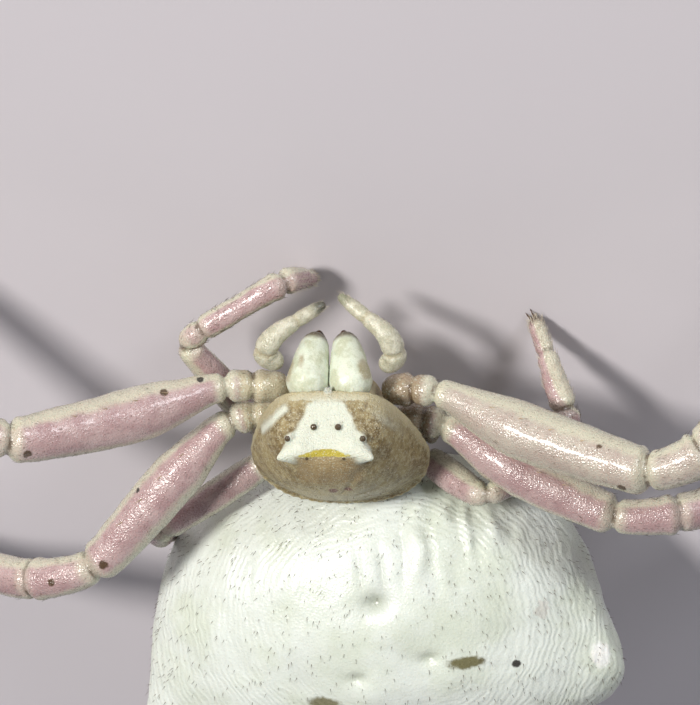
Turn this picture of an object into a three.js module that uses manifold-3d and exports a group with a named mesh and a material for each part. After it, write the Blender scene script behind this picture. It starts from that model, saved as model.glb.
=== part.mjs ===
// A crab spider, life size, set still in a resting stance. Millimetres, +Z up.
// The face looks along -Y and the spider's left side is +X.
// The origin is on the floor, under the flat where the belly rests.
// Each part of the body is a closed solid of its own. Neighbours meet face to face with a thin gap.

import * as THREE from "three";
import { mergeVertices } from "three/addons/utils/BufferGeometryUtils.js";
import Module from "manifold-3d";

const wasm = await Module();
wasm.setup();
const { clamp, degToRad, lerp, smoothstep } = THREE.MathUtils;

// Gaps between neighbours
const JOINT_GAP = 0.1;
const EYE_GAP = 0.025;
const SPINNERET_GAP = 0.06;

// Carapace, the hard shield over the head and chest
const CARAPACE_MID_Y = -3.1;
const CARAPACE_HALF_WIDTH = 1.4;
const CARAPACE_FRONT = 1.62;
const CARAPACE_REAR = 1.1;
const FRONT_SQUARENESS = 5;
const REAR_SQUARENESS = 2.5;
const FRONT_NARROWING = 0.38;
const FRONT_TAPER = 1.2;
const CLYPEUS_EDGE_Z = 2.5;
const SIDE_EDGE_Z = 2.12;
const REAR_EDGE_Z = 2.25;
const UNDERSIDE_Z = 2.2;
const MARGIN_THICKNESS = 0.02;

// Height of the carapace along its middle, as [y, z], and how far its sides drop
const SPINE = [
  [-4.73, 2.95], [-4.5, 3.2], [-4.3, 3.48], [-4.1, 3.56], [-3.8, 3.5],
  [-3.3, 3.32], [-2.8, 2.98], [-2.4, 2.62], [-2.0, 2.3],
];
const BROW_Y = -4.0;
const BROW_DROP = 0.16;
const CHEST_DROP = 0.3;
const FACE_Y = -4.5;
const FACE_FULLNESS = 0.4;
const CHEST_FULLNESS = 0.6;

// Horns at the front corners, each with a swelling at its root that bears an eye
const HORN_TIP = [0.75, -4.22, 3.47];
const HORN_LEAN = [-0.42, 0.06, -0.3];
const HORN_RADIUS = 0.24;
const SWELLING = { at: [0.58, -4.38, 3.16], radii: [0.16, 0.14, 0.16] };

const EYES = [
  { name: "front_middle", at: [0.19, -4.5, 3.06], radius: 0.07 },
  { name: "front_side", at: [0.58, -4.43, 3.24], radius: 0.085 },
  { name: "rear_middle", at: [0.29, -4.2, 3.43], radius: 0.05 },
  { name: "rear_side", at: [0.66, -3.95, 3.3], radius: 0.06 },
];

// Chest plate under the carapace, with the mouth lobes in front
const STERNUM_HALF = [0.78, 0.98];
const STERNUM_MID_Y = -3.32;
const STERNUM_BOTTOM_Z = 1.42;
const STERNUM_TOP_Z = 2.04;
const MOUTH_LOBE = { at: [0.3, -4.22, 1.62], radii: [0.24, 0.27, 0.26] };

// Jaws, with their thickness from root to tip as [share of length, radius], and the fangs
const JAWS = {
  left: { base: [0.36, -4.62, 2.38], tip: [0.27, -4.86, 1.36] },
  right: { base: [-0.34, -4.62, 2.38], tip: [-0.17, -4.86, 1.36] },
};
const JAW_RADIUS = [[0, 0.27], [0.25, 0.31], [0.6, 0.27], [0.9, 0.18], [1, 0.12]];
const FANG_ROOT = [-0.02, 0, -0.05];
const FANG_POINT = [-0.17, 0.14, -0.24];
const FANG_RADIUS = 0.07;

// Palps, each cut into a thigh, a bent middle length and a foot
const PALPS = {
  left: [
    [0.8, -4.58, 1.78], [1.08, -4.86, 1.84], [0.88, -5.18, 1.75], [0.52, -5.27, 1.5], [0.1, -5.36, 1.22],
  ],
  right: [
    [-0.76, -4.53, 1.78], [-1.02, -4.78, 1.84], [-0.92, -5.2, 1.75], [-0.54, -5.36, 1.5], [-0.12, -5.52, 1.2],
  ],
};
const PALP_ROUNDING = 0.22;
const PALP_CUTS = [0, 0.27, 0.68, 1];
const PALP_NAMES = ["femur", "tibia", "tarsus"];
const PALP_RADIUS = [
  [0, 0.14], [0.12, 0.17], [0.3, 0.19], [0.5, 0.17], [0.68, 0.14], [0.85, 0.13], [1, 0.07],
];

// Legs. Each is given by its course: chest, thigh root, mid thigh, knee, shank top, ankle, foot.
const LEGS = {
  leg_1_left: {
    course: [[0.72, -4.02, 1.72], [1.74, -4.22, 1.85], [3.13, -4.1, 2.45], [4.95, -4.38, 3.3],
      [5.85, -4.8, 3.2], [7.45, -6.75, 1.5], [8.2, -9.1, 0.05]],
    width: 0.86,
  },
  leg_1_right: {
    course: [[-0.7, -3.98, 1.72], [-1.6, -4.1, 1.85], [-2.88, -3.74, 2.4], [-4.97, -3.66, 3.25],
      [-5.85, -3.95, 3.1], [-7.5, -5.9, 1.45], [-8.3, -8.3, 0.05]],
    width: 0.9,
  },
  leg_2_left: {
    course: [[0.85, -3.44, 1.68], [1.74, -3.46, 1.82], [2.7, -2.62, 2.45], [3.94, -1.4, 3.15],
      [5.0, -0.98, 3.0], [7.1, 0.1, 1.35], [8.9, -1.4, 0.05]],
    width: 0.8,
  },
  leg_2_right: {
    course: [[-0.84, -3.38, 1.68], [-1.66, -3.3, 1.8], [-2.82, -2.8, 2.4], [-4.36, -2.42, 3.0],
      [-5.33, -2.42, 2.9], [-7.4, -1.7, 1.25], [-9.0, -3.4, 0.05]],
    width: 0.76,
  },
  leg_3_left: {
    course: [[0.84, -2.9, 1.58], [1.52, -2.9, 1.3], [1.95, -3.8, 1.32], [2.36, -4.64, 1.35],
      [2.05, -4.86, 1.27], [0.72, -5.52, 0.85], [0.45, -4.75, 0.05]],
    width: 0.5,
  },
  leg_3_right: {
    course: [[-0.84, -2.86, 1.6], [-1.5, -2.82, 1.35], [-2.6, -2.75, 1.3], [-3.4, -2.15, 1.75],
      [-3.6, -2.55, 1.8], [-3.5, -3.34, 1.55], [-2.93, -3.9, 0.05]],
    width: 0.5,
  },
  leg_4_left: {
    course: [[0.62, -2.46, 1.62], [1.3, -2.25, 1.6], [2.1, -1.85, 1.95], [2.95, -1.33, 2.2],
      [3.1, -0.9, 1.9], [3.12, -0.2, 1.05], [3.0, 0.9, 0.05]],
    width: 0.5,
  },
  leg_4_right: {
    course: [[-0.62, -2.42, 1.62], [-1.28, -2.34, 1.62], [-1.8, -2.36, 2.15], [-2.26, -2.46, 2.6],
      [-2.68, -2.36, 2.1], [-2.8, -1.5, 1.1], [-3.1, -0.4, 0.05]],
    width: 0.5,
  },
};
const LEG_ROUNDING = 0.9;
const COXA_WIDTH = 0.5;
const KNEE_REACH = 0.25;
const ANKLE_WIDTH = 0.42;
const FOOT_WIDTH = 0.3;
const TOE_WIDTH = 0.14;

// Waist
const PEDICEL = [[0, -2.22, 1.75], [0, -1.98, 1.78]];
const PEDICEL_RADIUS = 0.2;

// Abdomen, measured along its own axis from its front end: half width, top, bottom and the
// height of its widest line, each as [distance along the axis, size]
const ABDOMEN_START = [0.14, -1.95];
const ABDOMEN_TURN = degToRad(9);
const ABDOMEN_LENGTH = 5.5;
const ABDOMEN_WIDTH = [
  [0, 0], [0.12, 1.15], [0.35, 1.9], [0.7, 2.6], [1.2, 3.1], [1.8, 3.42], [2.5, 3.58],
  [3.3, 3.52], [3.9, 3.3], [4.4, 2.8], [4.9, 2.05], [5.3, 1.15], [5.5, 0],
];
const ABDOMEN_TOP = [
  [0, 1.85], [0.15, 2.4], [0.5, 3.0], [1.0, 3.45], [1.8, 3.88], [2.7, 4.1], [3.5, 4.08],
  [4.1, 3.75], [4.6, 3.1], [5.1, 2.2], [5.4, 1.6], [5.5, 1.3],
];
const ABDOMEN_BOTTOM = [
  [0, 1.75], [0.15, 1.2], [0.8, 0.4], [1.5, -0.03], [4.0, -0.03], [4.8, 0.35], [5.3, 0.8], [5.5, 1.25],
];
const ABDOMEN_WIDEST = [
  [0, 1.8], [0.8, 1.75], [2.0, 2.2], [3.3, 3.0], [3.9, 3.0], [4.6, 2.2], [5.5, 1.28],
];
const BACK_ROUNDNESS = 0.92;
const BELLY_ROUNDNESS = 0.85;

// The two corners of the abdomen: where they bulge, how far and how wide
const SHOULDER_AT = 3.5;
const SHOULDER_BULGE = 0.42;
const SHOULDER_SPREAD = 0.8;
const SHOULDER_TILT = 0.12;
const SHOULDER_TILT_SPREAD = 0.38;

// Spinnerets behind the abdomen
const SPINNERET_Z = 1.28;
const SPINNERET_LEAN = [-0.06, 0.36, -0.14];
const SPINNERET_RADIUS = [0.26, 0.14];

// Colours of the living spider
const WHITE = 0xe9ebe2;
const CREAM = 0xd9cfae;
const BEIGE = 0xbfae84;
const ROSE = 0xcdb3ae;
const AMBER = 0xb59b62;
const DARK = 0x2a1c14;

const SIDES = [["left", 1], ["right", -1]];
const spider = new THREE.Group();

function vector(point) {
  return new THREE.Vector3(point[0], point[1], point[2]);
}

// A point on the given side of the body, from the same point on the left.
function onSide(point, hand) {
  return [point[0] * hand, point[1], point[2]];
}

function shifted(point, step) {
  return point.map((value, i) => value + step[i]);
}

function addNode(name, geometry, colour, roughness = 0.45) {
  const material = new THREE.MeshStandardMaterial({ color: colour, roughness, metalness: 0 });
  const mesh = new THREE.Mesh(geometry, material);
  mesh.name = name;
  spider.add(mesh);
}

function toSolid(geometry) {
  const bare = geometry.clone();
  bare.deleteAttribute("normal");
  bare.deleteAttribute("uv");
  const welded = mergeVertices(bare, 1e-5);
  const mesh = new wasm.Mesh({
    numProp: 3,
    vertProperties: new Float32Array(welded.attributes.position.array),
    triVerts: new Uint32Array(welded.index.array),
  });
  return new wasm.Manifold(mesh);
}

// Back to a geometry, keeping only the largest closed piece.
function toGeometry(solid) {
  const pieces = solid.decompose().sort((a, b) => b.volume() - a.volume());
  const mesh = pieces[0].getMesh();
  const geometry = new THREE.BufferGeometry();
  geometry.setAttribute("position", new THREE.BufferAttribute(mesh.vertProperties, 3));
  geometry.setIndex(new THREE.BufferAttribute(mesh.triVerts, 1));
  geometry.computeVertexNormals();
  return geometry;
}

function moveVertices(geometry, place) {
  const position = geometry.attributes.position;
  const point = new THREE.Vector3();
  for (let i = 0; i < position.count; i += 1) {
    point.fromBufferAttribute(position, i);
    const moved = place(point);
    position.setXYZ(i, moved.x, moved.y, moved.z);
  }
  return geometry;
}

// Where a place lies in a list of [place, value] pairs: the pair before it, and the share to the next.
function readAt(pairs, at) {
  let i = 1;
  while (i < pairs.length - 1 && at > pairs[i][0]) {
    i += 1;
  }
  const step = clamp((at - pairs[i - 1][0]) / (pairs[i][0] - pairs[i - 1][0]), 0, 1);
  return [pairs[i - 1][1], pairs[i][1], step];
}

function profile(pairs, at) {
  const [from, to, step] = readAt(pairs, at);
  return lerp(from, to, step * step * (3 - 2 * step));
}

function line(pairs, at) {
  const [from, to, step] = readAt(pairs, at);
  return lerp(from, to, step);
}

function power(value, exponent) {
  return Math.sign(value) * Math.abs(value) ** exponent;
}

// An ellipsoid, for eyes and for lobes that are joined to a larger body.
function ball(centre, radii, around = 12, down = 8) {
  const geometry = new THREE.SphereGeometry(1, around, down);
  geometry.scale(radii[0], radii[1], radii[2]);
  geometry.translate(centre[0], centre[1], centre[2]);
  return geometry;
}

// A blunt cone from its sunk foot to its tip.
function cone(foot, tip, radius, sides) {
  const bluntness = 0.12;
  const axis = vector(tip).sub(vector(foot));
  const geometry = new THREE.CylinderGeometry(radius * bluntness, radius, axis.length(), sides, 2);
  const upright = new THREE.Vector3(0, 1, 0);
  geometry.applyQuaternion(new THREE.Quaternion().setFromUnitVectors(upright, axis.normalize()));
  const middle = vector(foot).add(vector(tip)).multiplyScalar(0.5);
  geometry.translate(middle.x, middle.y, middle.z);
  return geometry;
}

// The course of a limb: straight lengths with a rounded bend at each inner point.
function limbCourse(points, rounding) {
  const mostReach = 0.45;
  const corners = points.map(vector);
  const course = new THREE.CurvePath();
  let from = corners[0];
  for (let i = 1; i < corners.length - 1; i += 1) {
    const corner = corners[i];
    const back = corners[i - 1].clone().sub(corner);
    const ahead = corners[i + 1].clone().sub(corner);
    const reach = Math.min(rounding, back.length() * mostReach, ahead.length() * mostReach);
    const entry = corner.clone().addScaledVector(back.normalize(), reach);
    const exit = corner.clone().addScaledVector(ahead.normalize(), reach);
    course.add(new THREE.LineCurve3(from, entry));
    course.add(new THREE.QuadraticBezierCurve3(entry, corner, exit));
    from = exit;
  }
  course.add(new THREE.LineCurve3(from, corners[corners.length - 1]));
  return course;
}

// One article of a limb: a round tube along part of the course, closed by flat ends.
// Nothing reaches below the floor, so a foot gets a small flat there.
function article(course, start, end, radiusAt, sides, rings) {
  const geometry = new THREE.CylinderGeometry(1, 1, 1, sides, rings);
  const total = course.getLength();
  const side = new THREE.Vector3();
  const lift = new THREE.Vector3();
  return moveVertices(geometry, (point) => {
    const share = 0.5 - point.y;
    const at = lerp(start, end, share);
    const centre = course.getPointAt(clamp(at / total, 0, 1));
    const along = course.getTangentAt(clamp(at / total, 0, 1));
    side.set(0, 0, 1).addScaledVector(along, -along.z).normalize();
    lift.crossVectors(along, side);
    const radius = radiusAt(at, share);
    centre.addScaledVector(side, -point.x * radius);
    centre.addScaledVector(lift, -point.z * radius);
    centre.z = Math.max(centre.z, 0);
    return centre;
  });
}

// Carapace
function carapaceEdge(angle) {
  const across = Math.cos(angle);
  const ahead = Math.sin(angle);
  const squareness = ahead > 0 ? FRONT_SQUARENESS : REAR_SQUARENESS;
  const reach = (Math.abs(across) ** squareness + Math.abs(ahead) ** squareness) ** (-1 / squareness);
  const y = ahead * reach;
  const forward = Math.max(0, y) ** FRONT_TAPER;
  return {
    x: CARAPACE_HALF_WIDTH * across * reach * (1 - FRONT_NARROWING * forward),
    y: CARAPACE_MID_Y - y * (y > 0 ? CARAPACE_FRONT : CARAPACE_REAR),
    z: y > 0 ? lerp(SIDE_EDGE_Z, CLYPEUS_EDGE_Z, forward) : lerp(SIDE_EDGE_Z, REAR_EDGE_Z, y * y),
  };
}

function carapaceTop(x, y) {
  const drop = y < BROW_Y ? BROW_DROP : CHEST_DROP;
  return line(SPINE, y) - drop * x * x;
}

// The shield from its rim to its top, and its nearly flat underside, from a ball.
function buildDome() {
  const quarter = Math.PI / 2;
  return moveVertices(new THREE.SphereGeometry(1, 40, 20), (point) => {
    const polar = Math.acos(clamp(point.y, -1, 1));
    const edge = carapaceEdge(Math.atan2(point.z, point.x));
    const upper = polar <= quarter + 1e-6;
    const share = upper ? (polar / quarter) ** 0.85 : (Math.PI - polar) / quarter;
    const x = edge.x * share;
    const y = lerp(CARAPACE_MID_Y, edge.y, share);
    if (upper) {
      const fullness = lerp(FACE_FULLNESS, CHEST_FULLNESS, smoothstep(y, FACE_Y, BROW_Y));
      const rise = Math.max(0, 1 - share ** 4) ** fullness;
      return new THREE.Vector3(x, y, lerp(edge.z, carapaceTop(x, y), rise));
    }
    return new THREE.Vector3(x, y, lerp(UNDERSIDE_Z, edge.z - MARGIN_THICKNESS, share ** 3));
  });
}

function buildCarapace() {
  let shield = toSolid(buildDome());
  for (const [, hand] of SIDES) {
    const tip = onSide(HORN_TIP, hand);
    const foot = shifted(tip, onSide(HORN_LEAN, hand));
    shield = shield.add(toSolid(cone(foot, tip, HORN_RADIUS, 12)));
    shield = shield.add(toSolid(ball(onSide(SWELLING.at, hand), SWELLING.radii)));
  }
  for (const eye of EYES) {
    const room = eye.radius + EYE_GAP;
    for (const [, hand] of SIDES) {
      shield = shield.subtract(toSolid(ball(onSide(eye.at, hand), [room, room, room])));
    }
  }
  return toGeometry(shield);
}

addNode("carapace", buildCarapace(), BEIGE, 0.5);

for (const eye of EYES) {
  for (const [side, hand] of SIDES) {
    const lens = ball(onSide(eye.at, hand), [eye.radius, eye.radius, eye.radius], 8, 6);
    addNode(`eye_${eye.name}_${side}`, lens, DARK, 0.15);
  }
}

// Chest plate: a ball flattened and squared to a shield shape
function buildSternum() {
  const squaring = 1.25;
  const middle = (STERNUM_BOTTOM_Z + STERNUM_TOP_Z) / 2;
  const half = (STERNUM_TOP_Z - STERNUM_BOTTOM_Z) / 2;
  const plate = moveVertices(new THREE.SphereGeometry(1, 20, 10), (point) => {
    const round = Math.hypot(point.x, point.z);
    const spread = round > 0 ? Math.min(1, round * squaring) / round : 0;
    return new THREE.Vector3(
      point.x * spread * STERNUM_HALF[0],
      STERNUM_MID_Y - point.z * spread * STERNUM_HALF[1],
      middle + power(point.y, 0.8) * half,
    );
  });
  let sternum = toSolid(plate);
  for (const [, hand] of SIDES) {
    sternum = sternum.add(toSolid(ball(onSide(MOUTH_LOBE.at, hand), MOUTH_LOBE.radii)));
  }
  return toGeometry(sternum);
}

addNode("sternum", buildSternum(), CREAM, 0.5);

// Jaws and fangs
for (const [side, hand] of SIDES) {
  const jaw = JAWS[side];
  const course = limbCourse([jaw.base, jaw.tip], 0);
  const shape = article(course, 0, course.getLength(), (at, share) => profile(JAW_RADIUS, share), 12, 7);
  addNode(`chelicera_${side}`, shape, WHITE, 0.4);
  const root = shifted(jaw.tip, onSide(FANG_ROOT, hand));
  const point = shifted(jaw.tip, onSide(FANG_POINT, hand));
  addNode(`fang_${side}`, cone(root, point, FANG_RADIUS, 8), DARK, 0.25);
}

// Palps
for (const [side] of SIDES) {
  const course = limbCourse(PALPS[side], PALP_ROUNDING);
  const length = course.getLength();
  PALP_NAMES.forEach((name, i) => {
    const start = PALP_CUTS[i] * length + (i > 0 ? JOINT_GAP / 2 : 0);
    const end = PALP_CUTS[i + 1] * length - (i < 2 ? JOINT_GAP / 2 : 0);
    const shape = article(course, start, end, (at) => profile(PALP_RADIUS, at / length), 9, 5);
    addNode(`palp_${side}_${name}`, shape, CREAM, 0.45);
  });
}

// Legs
const LEG_PARTS = [
  { name: "coxa", colour: AMBER, rings: 3 },
  { name: "femur", colour: ROSE, rings: 8 },
  { name: "tibia", colour: ROSE, rings: 10 },
  { name: "tarsus", colour: ROSE, rings: 6 },
];

// How thick a leg is along its course: slim at each joint, widest in the thigh.
function legRadii(width, [, root, knee, ankle, foot]) {
  const half = width / 2;
  const coxa = Math.min(COXA_WIDTH, width) / 2;
  return [
    [0, coxa * 0.9],
    [root * 0.5, coxa],
    [root, coxa * 0.92],
    [root + 0.4 * (knee - root), half],
    [knee - KNEE_REACH, half * 0.84],
    [knee, half * 0.7],
    [knee + 0.25 * (ankle - knee), half * 0.8],
    [knee + 0.6 * (ankle - knee), half * 0.78],
    [ankle, ANKLE_WIDTH / 2],
    [ankle + 0.6 * (foot - ankle), FOOT_WIDTH / 2],
    [foot - TOE_WIDTH, FOOT_WIDTH * 0.42],
    [foot, TOE_WIDTH / 2],
  ];
}

function buildLeg(name, leg) {
  const course = limbCourse(leg.course, leg.width * LEG_ROUNDING);
  const foot = course.getLength();
  const spans = leg.course.slice(1).map((joint, i) => vector(joint).distanceTo(vector(leg.course[i])));
  const scale = foot / spans.reduce((sum, span) => sum + span, 0);
  const root = spans[0] * scale;
  const knee = root + (spans[1] + spans[2]) * scale;
  const ankle = knee + (spans[3] + spans[4]) * scale;
  const cuts = [0, root, knee, ankle, foot];
  const radii = legRadii(leg.width, cuts);
  LEG_PARTS.forEach((part, i) => {
    const start = cuts[i] + (i > 0 ? JOINT_GAP / 2 : 0);
    const end = cuts[i + 1] - (i < 3 ? JOINT_GAP / 2 : 0);
    const shape = article(course, start, end, (at) => profile(radii, at), 10, part.rings);
    addNode(`${name}_${part.name}`, shape, part.colour, 0.4);
  });
}

for (const [name, leg] of Object.entries(LEGS)) {
  buildLeg(name, leg);
}

// Waist
const waist = limbCourse(PEDICEL, 0);
addNode("pedicel", article(waist, 0, waist.getLength(), () => PEDICEL_RADIUS, 10, 2), AMBER, 0.5);

// From the abdomen's own axis to the model's place
function fromAbdomen(x, along) {
  const sin = Math.sin(ABDOMEN_TURN);
  const cos = Math.cos(ABDOMEN_TURN);
  return [ABDOMEN_START[0] + x * cos - along * sin, ABDOMEN_START[1] + x * sin + along * cos];
}

// Abdomen
function abdomenPoint(along, turn) {
  const width = line(ABDOMEN_WIDTH, along);
  const widest = line(ABDOMEN_WIDEST, along);
  const back = line(ABDOMEN_TOP, along) - widest;
  const belly = widest - line(ABDOMEN_BOTTOM, along);
  const across = Math.cos(turn);
  const up = Math.sin(turn);
  const reach = (along - SHOULDER_AT) / SHOULDER_SPREAD;
  const tilt = (Math.atan2(up, Math.abs(across)) - SHOULDER_TILT) / SHOULDER_TILT_SPREAD;
  const bulge = SHOULDER_BULGE * Math.min(1, width) * Math.exp(-(reach * reach + tilt * tilt) * 1.1);
  const [x, y] = fromAbdomen(across * width + Math.sign(across) * bulge, along);
  const z = widest + (up > 0 ? back * power(up, BACK_ROUNDNESS) : belly * power(up, BELLY_ROUNDNESS));
  return new THREE.Vector3(x, y, Math.max(z, 0));
}

function buildAbdomen() {
  return moveVertices(new THREE.SphereGeometry(1, 40, 28), (point) => {
    const share = (1 - clamp(point.y, -1, 1)) / 2;
    return abdomenPoint(ABDOMEN_LENGTH * share, Math.atan2(point.z, -point.x));
  });
}

addNode("abdomen", buildAbdomen(), WHITE, 0.45);

// Spinnerets
function buildSpinnerets() {
  const [x, y] = fromAbdomen(0, ABDOMEN_LENGTH + SPINNERET_GAP);
  const root = [x, y, SPINNERET_Z];
  const course = limbCourse([root, shifted(root, SPINNERET_LEAN)], 0);
  return article(course, 0, course.getLength(), (at, share) => lerp(...SPINNERET_RADIUS, share), 10, 3);
}

addNode("spinnerets", buildSpinnerets(), CREAM, 0.5);

export default spider;
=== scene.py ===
import math
import random

import bmesh
import bpy
import numpy as np
from mathutils import Matrix, Vector, noise


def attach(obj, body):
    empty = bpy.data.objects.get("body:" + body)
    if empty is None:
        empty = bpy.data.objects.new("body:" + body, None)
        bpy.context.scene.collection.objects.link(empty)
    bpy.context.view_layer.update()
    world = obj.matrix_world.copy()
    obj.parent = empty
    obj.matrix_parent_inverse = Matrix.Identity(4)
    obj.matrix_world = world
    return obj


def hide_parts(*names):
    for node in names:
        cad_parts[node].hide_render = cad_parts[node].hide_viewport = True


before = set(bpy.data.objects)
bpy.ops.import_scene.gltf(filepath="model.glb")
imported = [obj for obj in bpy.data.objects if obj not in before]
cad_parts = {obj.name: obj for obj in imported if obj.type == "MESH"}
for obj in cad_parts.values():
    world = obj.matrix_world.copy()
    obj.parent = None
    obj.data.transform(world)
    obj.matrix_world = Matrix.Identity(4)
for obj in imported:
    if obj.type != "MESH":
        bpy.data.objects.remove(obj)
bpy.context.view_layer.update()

# The view: the model seen from the front and above, in a long lens.
# The picture is turned half round, so that the face points to its top edge.
# Sizes here are millimetres, and MM brings them to metres.
MM = 0.001
FRAME_WIDTH = 700
FRAME_HEIGHT = 705
VIEW_ELEVATION = math.radians(45)
VIEW_SWING = math.radians(7.5)
VIEW_DISTANCE = 160
PIXELS_PER_MM = 65
CREST = Vector((0, -4.3, 3.4))
CREST_IN_PICTURE = (325, 452)
SENSOR = 36

toward_camera = Vector((
    -math.sin(VIEW_SWING),
    -math.cos(VIEW_SWING) * math.cos(VIEW_ELEVATION),
    math.cos(VIEW_SWING) * math.sin(VIEW_ELEVATION),
))
picture_right = Vector((-1, 0, 0))
picture_right -= toward_camera * picture_right.dot(toward_camera)
picture_right.normalize()
picture_up = toward_camera.cross(picture_right)
aim = CREST + picture_right * ((FRAME_WIDTH / 2 - CREST_IN_PICTURE[0]) / PIXELS_PER_MM)
aim += picture_up * ((CREST_IN_PICTURE[1] - FRAME_HEIGHT / 2) / PIXELS_PER_MM)
camera_data = bpy.data.cameras.new("photo_view")
camera_data.sensor_fit = "VERTICAL"
camera_data.sensor_height = SENSOR
camera_data.lens = SENSOR * PIXELS_PER_MM * VIEW_DISTANCE / FRAME_HEIGHT
camera_data.clip_start = 0.01
camera_data.clip_end = 5
camera = bpy.data.objects.new("photo_view", camera_data)
camera_turn = Matrix((picture_right, picture_up, toward_camera)).transposed()
camera.matrix_world = Matrix.Translation((aim + toward_camera * VIEW_DISTANCE) * MM) @ camera_turn.to_4x4()
bpy.context.scene.collection.objects.link(camera)
bpy.context.scene.camera = camera


# The floor is a plain pale board that the model stands on.
# It is larger than any view of the model takes in.
FLOOR_HALF = 600
FLOOR_COLOUR = (0.60, 0.565, 0.60)
FLOOR_PALER = tuple(part * 1.05 for part in FLOOR_COLOUR)
FLOOR_GRAIN = 0.15


def new_material(name):
    material = bpy.data.materials.new(name)
    material.use_nodes = True
    tree = material.node_tree
    return material, tree, tree.nodes["Principled BSDF"]


def feed(tree, socket, value):
    """Gives a socket a number, a colour, a vector or the output of another node."""
    if isinstance(value, bpy.types.NodeSocket):
        tree.links.new(value, socket)
    elif isinstance(value, tuple) and len(value) == 3 and socket.type == "RGBA":
        socket.default_value = (*value, 1)
    else:
        socket.default_value = value


def add_node(tree, kind, settings=None, **inputs):
    """A node of one kind, with its settings and its inputs by name."""
    node = tree.nodes.new(kind)
    for key, value in (settings or {}).items():
        setattr(node, key, value)
    for key, value in inputs.items():
        feed(tree, node.inputs[key.replace("_", " ")], value)
    return node


def mix(tree, mask, below, above):
    """One colour painted over another where the mask is one."""
    node = add_node(tree, "ShaderNodeMix", {"data_type": "RGBA"})
    feed(tree, node.inputs[0], mask)
    feed(tree, node.inputs[6], below)
    feed(tree, node.inputs[7], above)
    return node.outputs[2]


def place_in_mm(tree):
    """The place on the piece in millimetres, in its own coordinates."""
    here = add_node(tree, "ShaderNodeTexCoord").outputs["Object"]
    node = add_node(tree, "ShaderNodeVectorMath", {"operation": "SCALE"}, Scale=1 / MM)
    tree.links.new(here, node.inputs[0])
    return node.outputs[0]


def add_piece(name, bm, material):
    """A smooth piece from a bmesh in millimetres, with its place in its mesh."""
    bmesh.ops.scale(bm, vec=(MM, MM, MM), verts=bm.verts)
    mesh = bpy.data.meshes.new(name)
    bm.to_mesh(mesh)
    bm.free()
    mesh.polygons.foreach_set("use_smooth", [True] * len(mesh.polygons))
    mesh.materials.append(material)
    piece = bpy.data.objects.new(name, mesh)
    bpy.context.scene.collection.objects.link(piece)
    return piece


floor_material, tree, shader = new_material("pale board")
floor_cloud = add_node(tree, "ShaderNodeTexNoise", Vector=place_in_mm(tree), Scale=FLOOR_GRAIN, Detail=2.0)
feed(tree, shader.inputs["Base Color"], mix(tree, floor_cloud.outputs["Fac"], FLOOR_COLOUR, FLOOR_PALER))
shader.inputs["Roughness"].default_value = 0.7
floor_bm = bmesh.new()
bmesh.ops.create_grid(floor_bm, x_segments=1, y_segments=1, size=FLOOR_HALF)
floor = add_piece("floor", floor_bm, floor_material)


# Studio light: one small lamp in front on the model's left, a weaker one across from it
# that draws a streak along the near legs, a broad one behind, and a soft sky over all.
# A lamp is given by its name, direction, distance, width, power and colour.
LAMPS = (
    ("key", Vector((0.47, -0.66, 0.6)), 160, 28, 0.26, (1, 0.97, 0.92)),
    ("side", Vector((-0.55, -0.8, 0.27)), 170, 44, 0.1, (0.95, 0.97, 1)),
    ("back", Vector((-0.1, 0.85, 0.6)), 200, 140, 0.035, (1, 0.98, 1)),
)
LAMP_AIM = Vector((0, -2, 2))
SKY_COLOUR = (0.93, 0.95, 1, 1)
SKY_STRENGTH = 0.21

for lamp_name, direction, distance, size, power, colour in LAMPS:
    lamp_data = bpy.data.lights.new(lamp_name, "AREA")
    lamp_data.shape = "DISK"
    lamp_data.size = size * MM
    lamp_data.energy = power
    lamp_data.color = colour
    lamp = bpy.data.objects.new(lamp_name, lamp_data)
    lamp_place = (direction.normalized() * distance + LAMP_AIM) * MM
    lamp_turn = direction.to_track_quat("Z", "Y").to_matrix()
    lamp.matrix_world = Matrix.Translation(lamp_place) @ lamp_turn.to_4x4()
    bpy.context.scene.collection.objects.link(lamp)
world = bpy.data.worlds.new("studio")
world.use_nodes = True
world.node_tree.nodes["Background"].inputs["Color"].default_value = SKY_COLOUR
world.node_tree.nodes["Background"].inputs["Strength"].default_value = SKY_STRENGTH
bpy.context.scene.world = world
bpy.context.scene.view_settings.view_transform = "Standard"


# Carapace: the hard shield over head and chest, thin and a little see-through, beige over white.
# Its front corners rise into two blunt white horns, and a white face lies between them.
CARAPACE_MID_Y = -3.1
CARAPACE_HALF_WIDTH = 1.4
CARAPACE_FRONT = 1.62
CARAPACE_REAR = 1.1
FRONT_SQUARENESS = 5
REAR_SQUARENESS = 2.5
FRONT_NARROWING = 0.38
FRONT_TAPER = 1.2
CLYPEUS_EDGE_Z = 2.5
SIDE_EDGE_Z = 2.12
REAR_EDGE_Z = 2.25
UNDERSIDE_Z = 2.2
MARGIN_THICKNESS = 0.02
SPINE = (
    (-4.73, 2.95), (-4.5, 3.2), (-4.3, 3.48), (-4.1, 3.56), (-3.8, 3.5),
    (-3.3, 3.32), (-2.8, 2.98), (-2.4, 2.62), (-2.0, 2.3),
)
BROW_Y = -4.0
BROW_DROP = 0.16
CHEST_DROP = 0.3
FACE_Y = -4.5
FACE_FULLNESS = 0.4
CHEST_FULLNESS = 0.6
HORN_TIP = Vector((0.75, -4.22, 3.47))
HORN_AXIS = Vector((0.42, -0.06, 0.3)).normalized()
HORN_SLOPE = 1.9
HORN_BLUNTNESS = 0.04
HORN_REACH = 0.6
EYES = (
    ("front_middle", Vector((0.19, -4.5, 3.06)), 0.07, 0.75),
    ("front_side", Vector((0.58, -4.43, 3.24)), 0.085, 0.6),
    ("rear_middle", Vector((0.29, -4.2, 3.43)), 0.05, 0.7),
    ("rear_side", Vector((0.64, -3.97, 3.29)), 0.06, 0.5),
)
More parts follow.
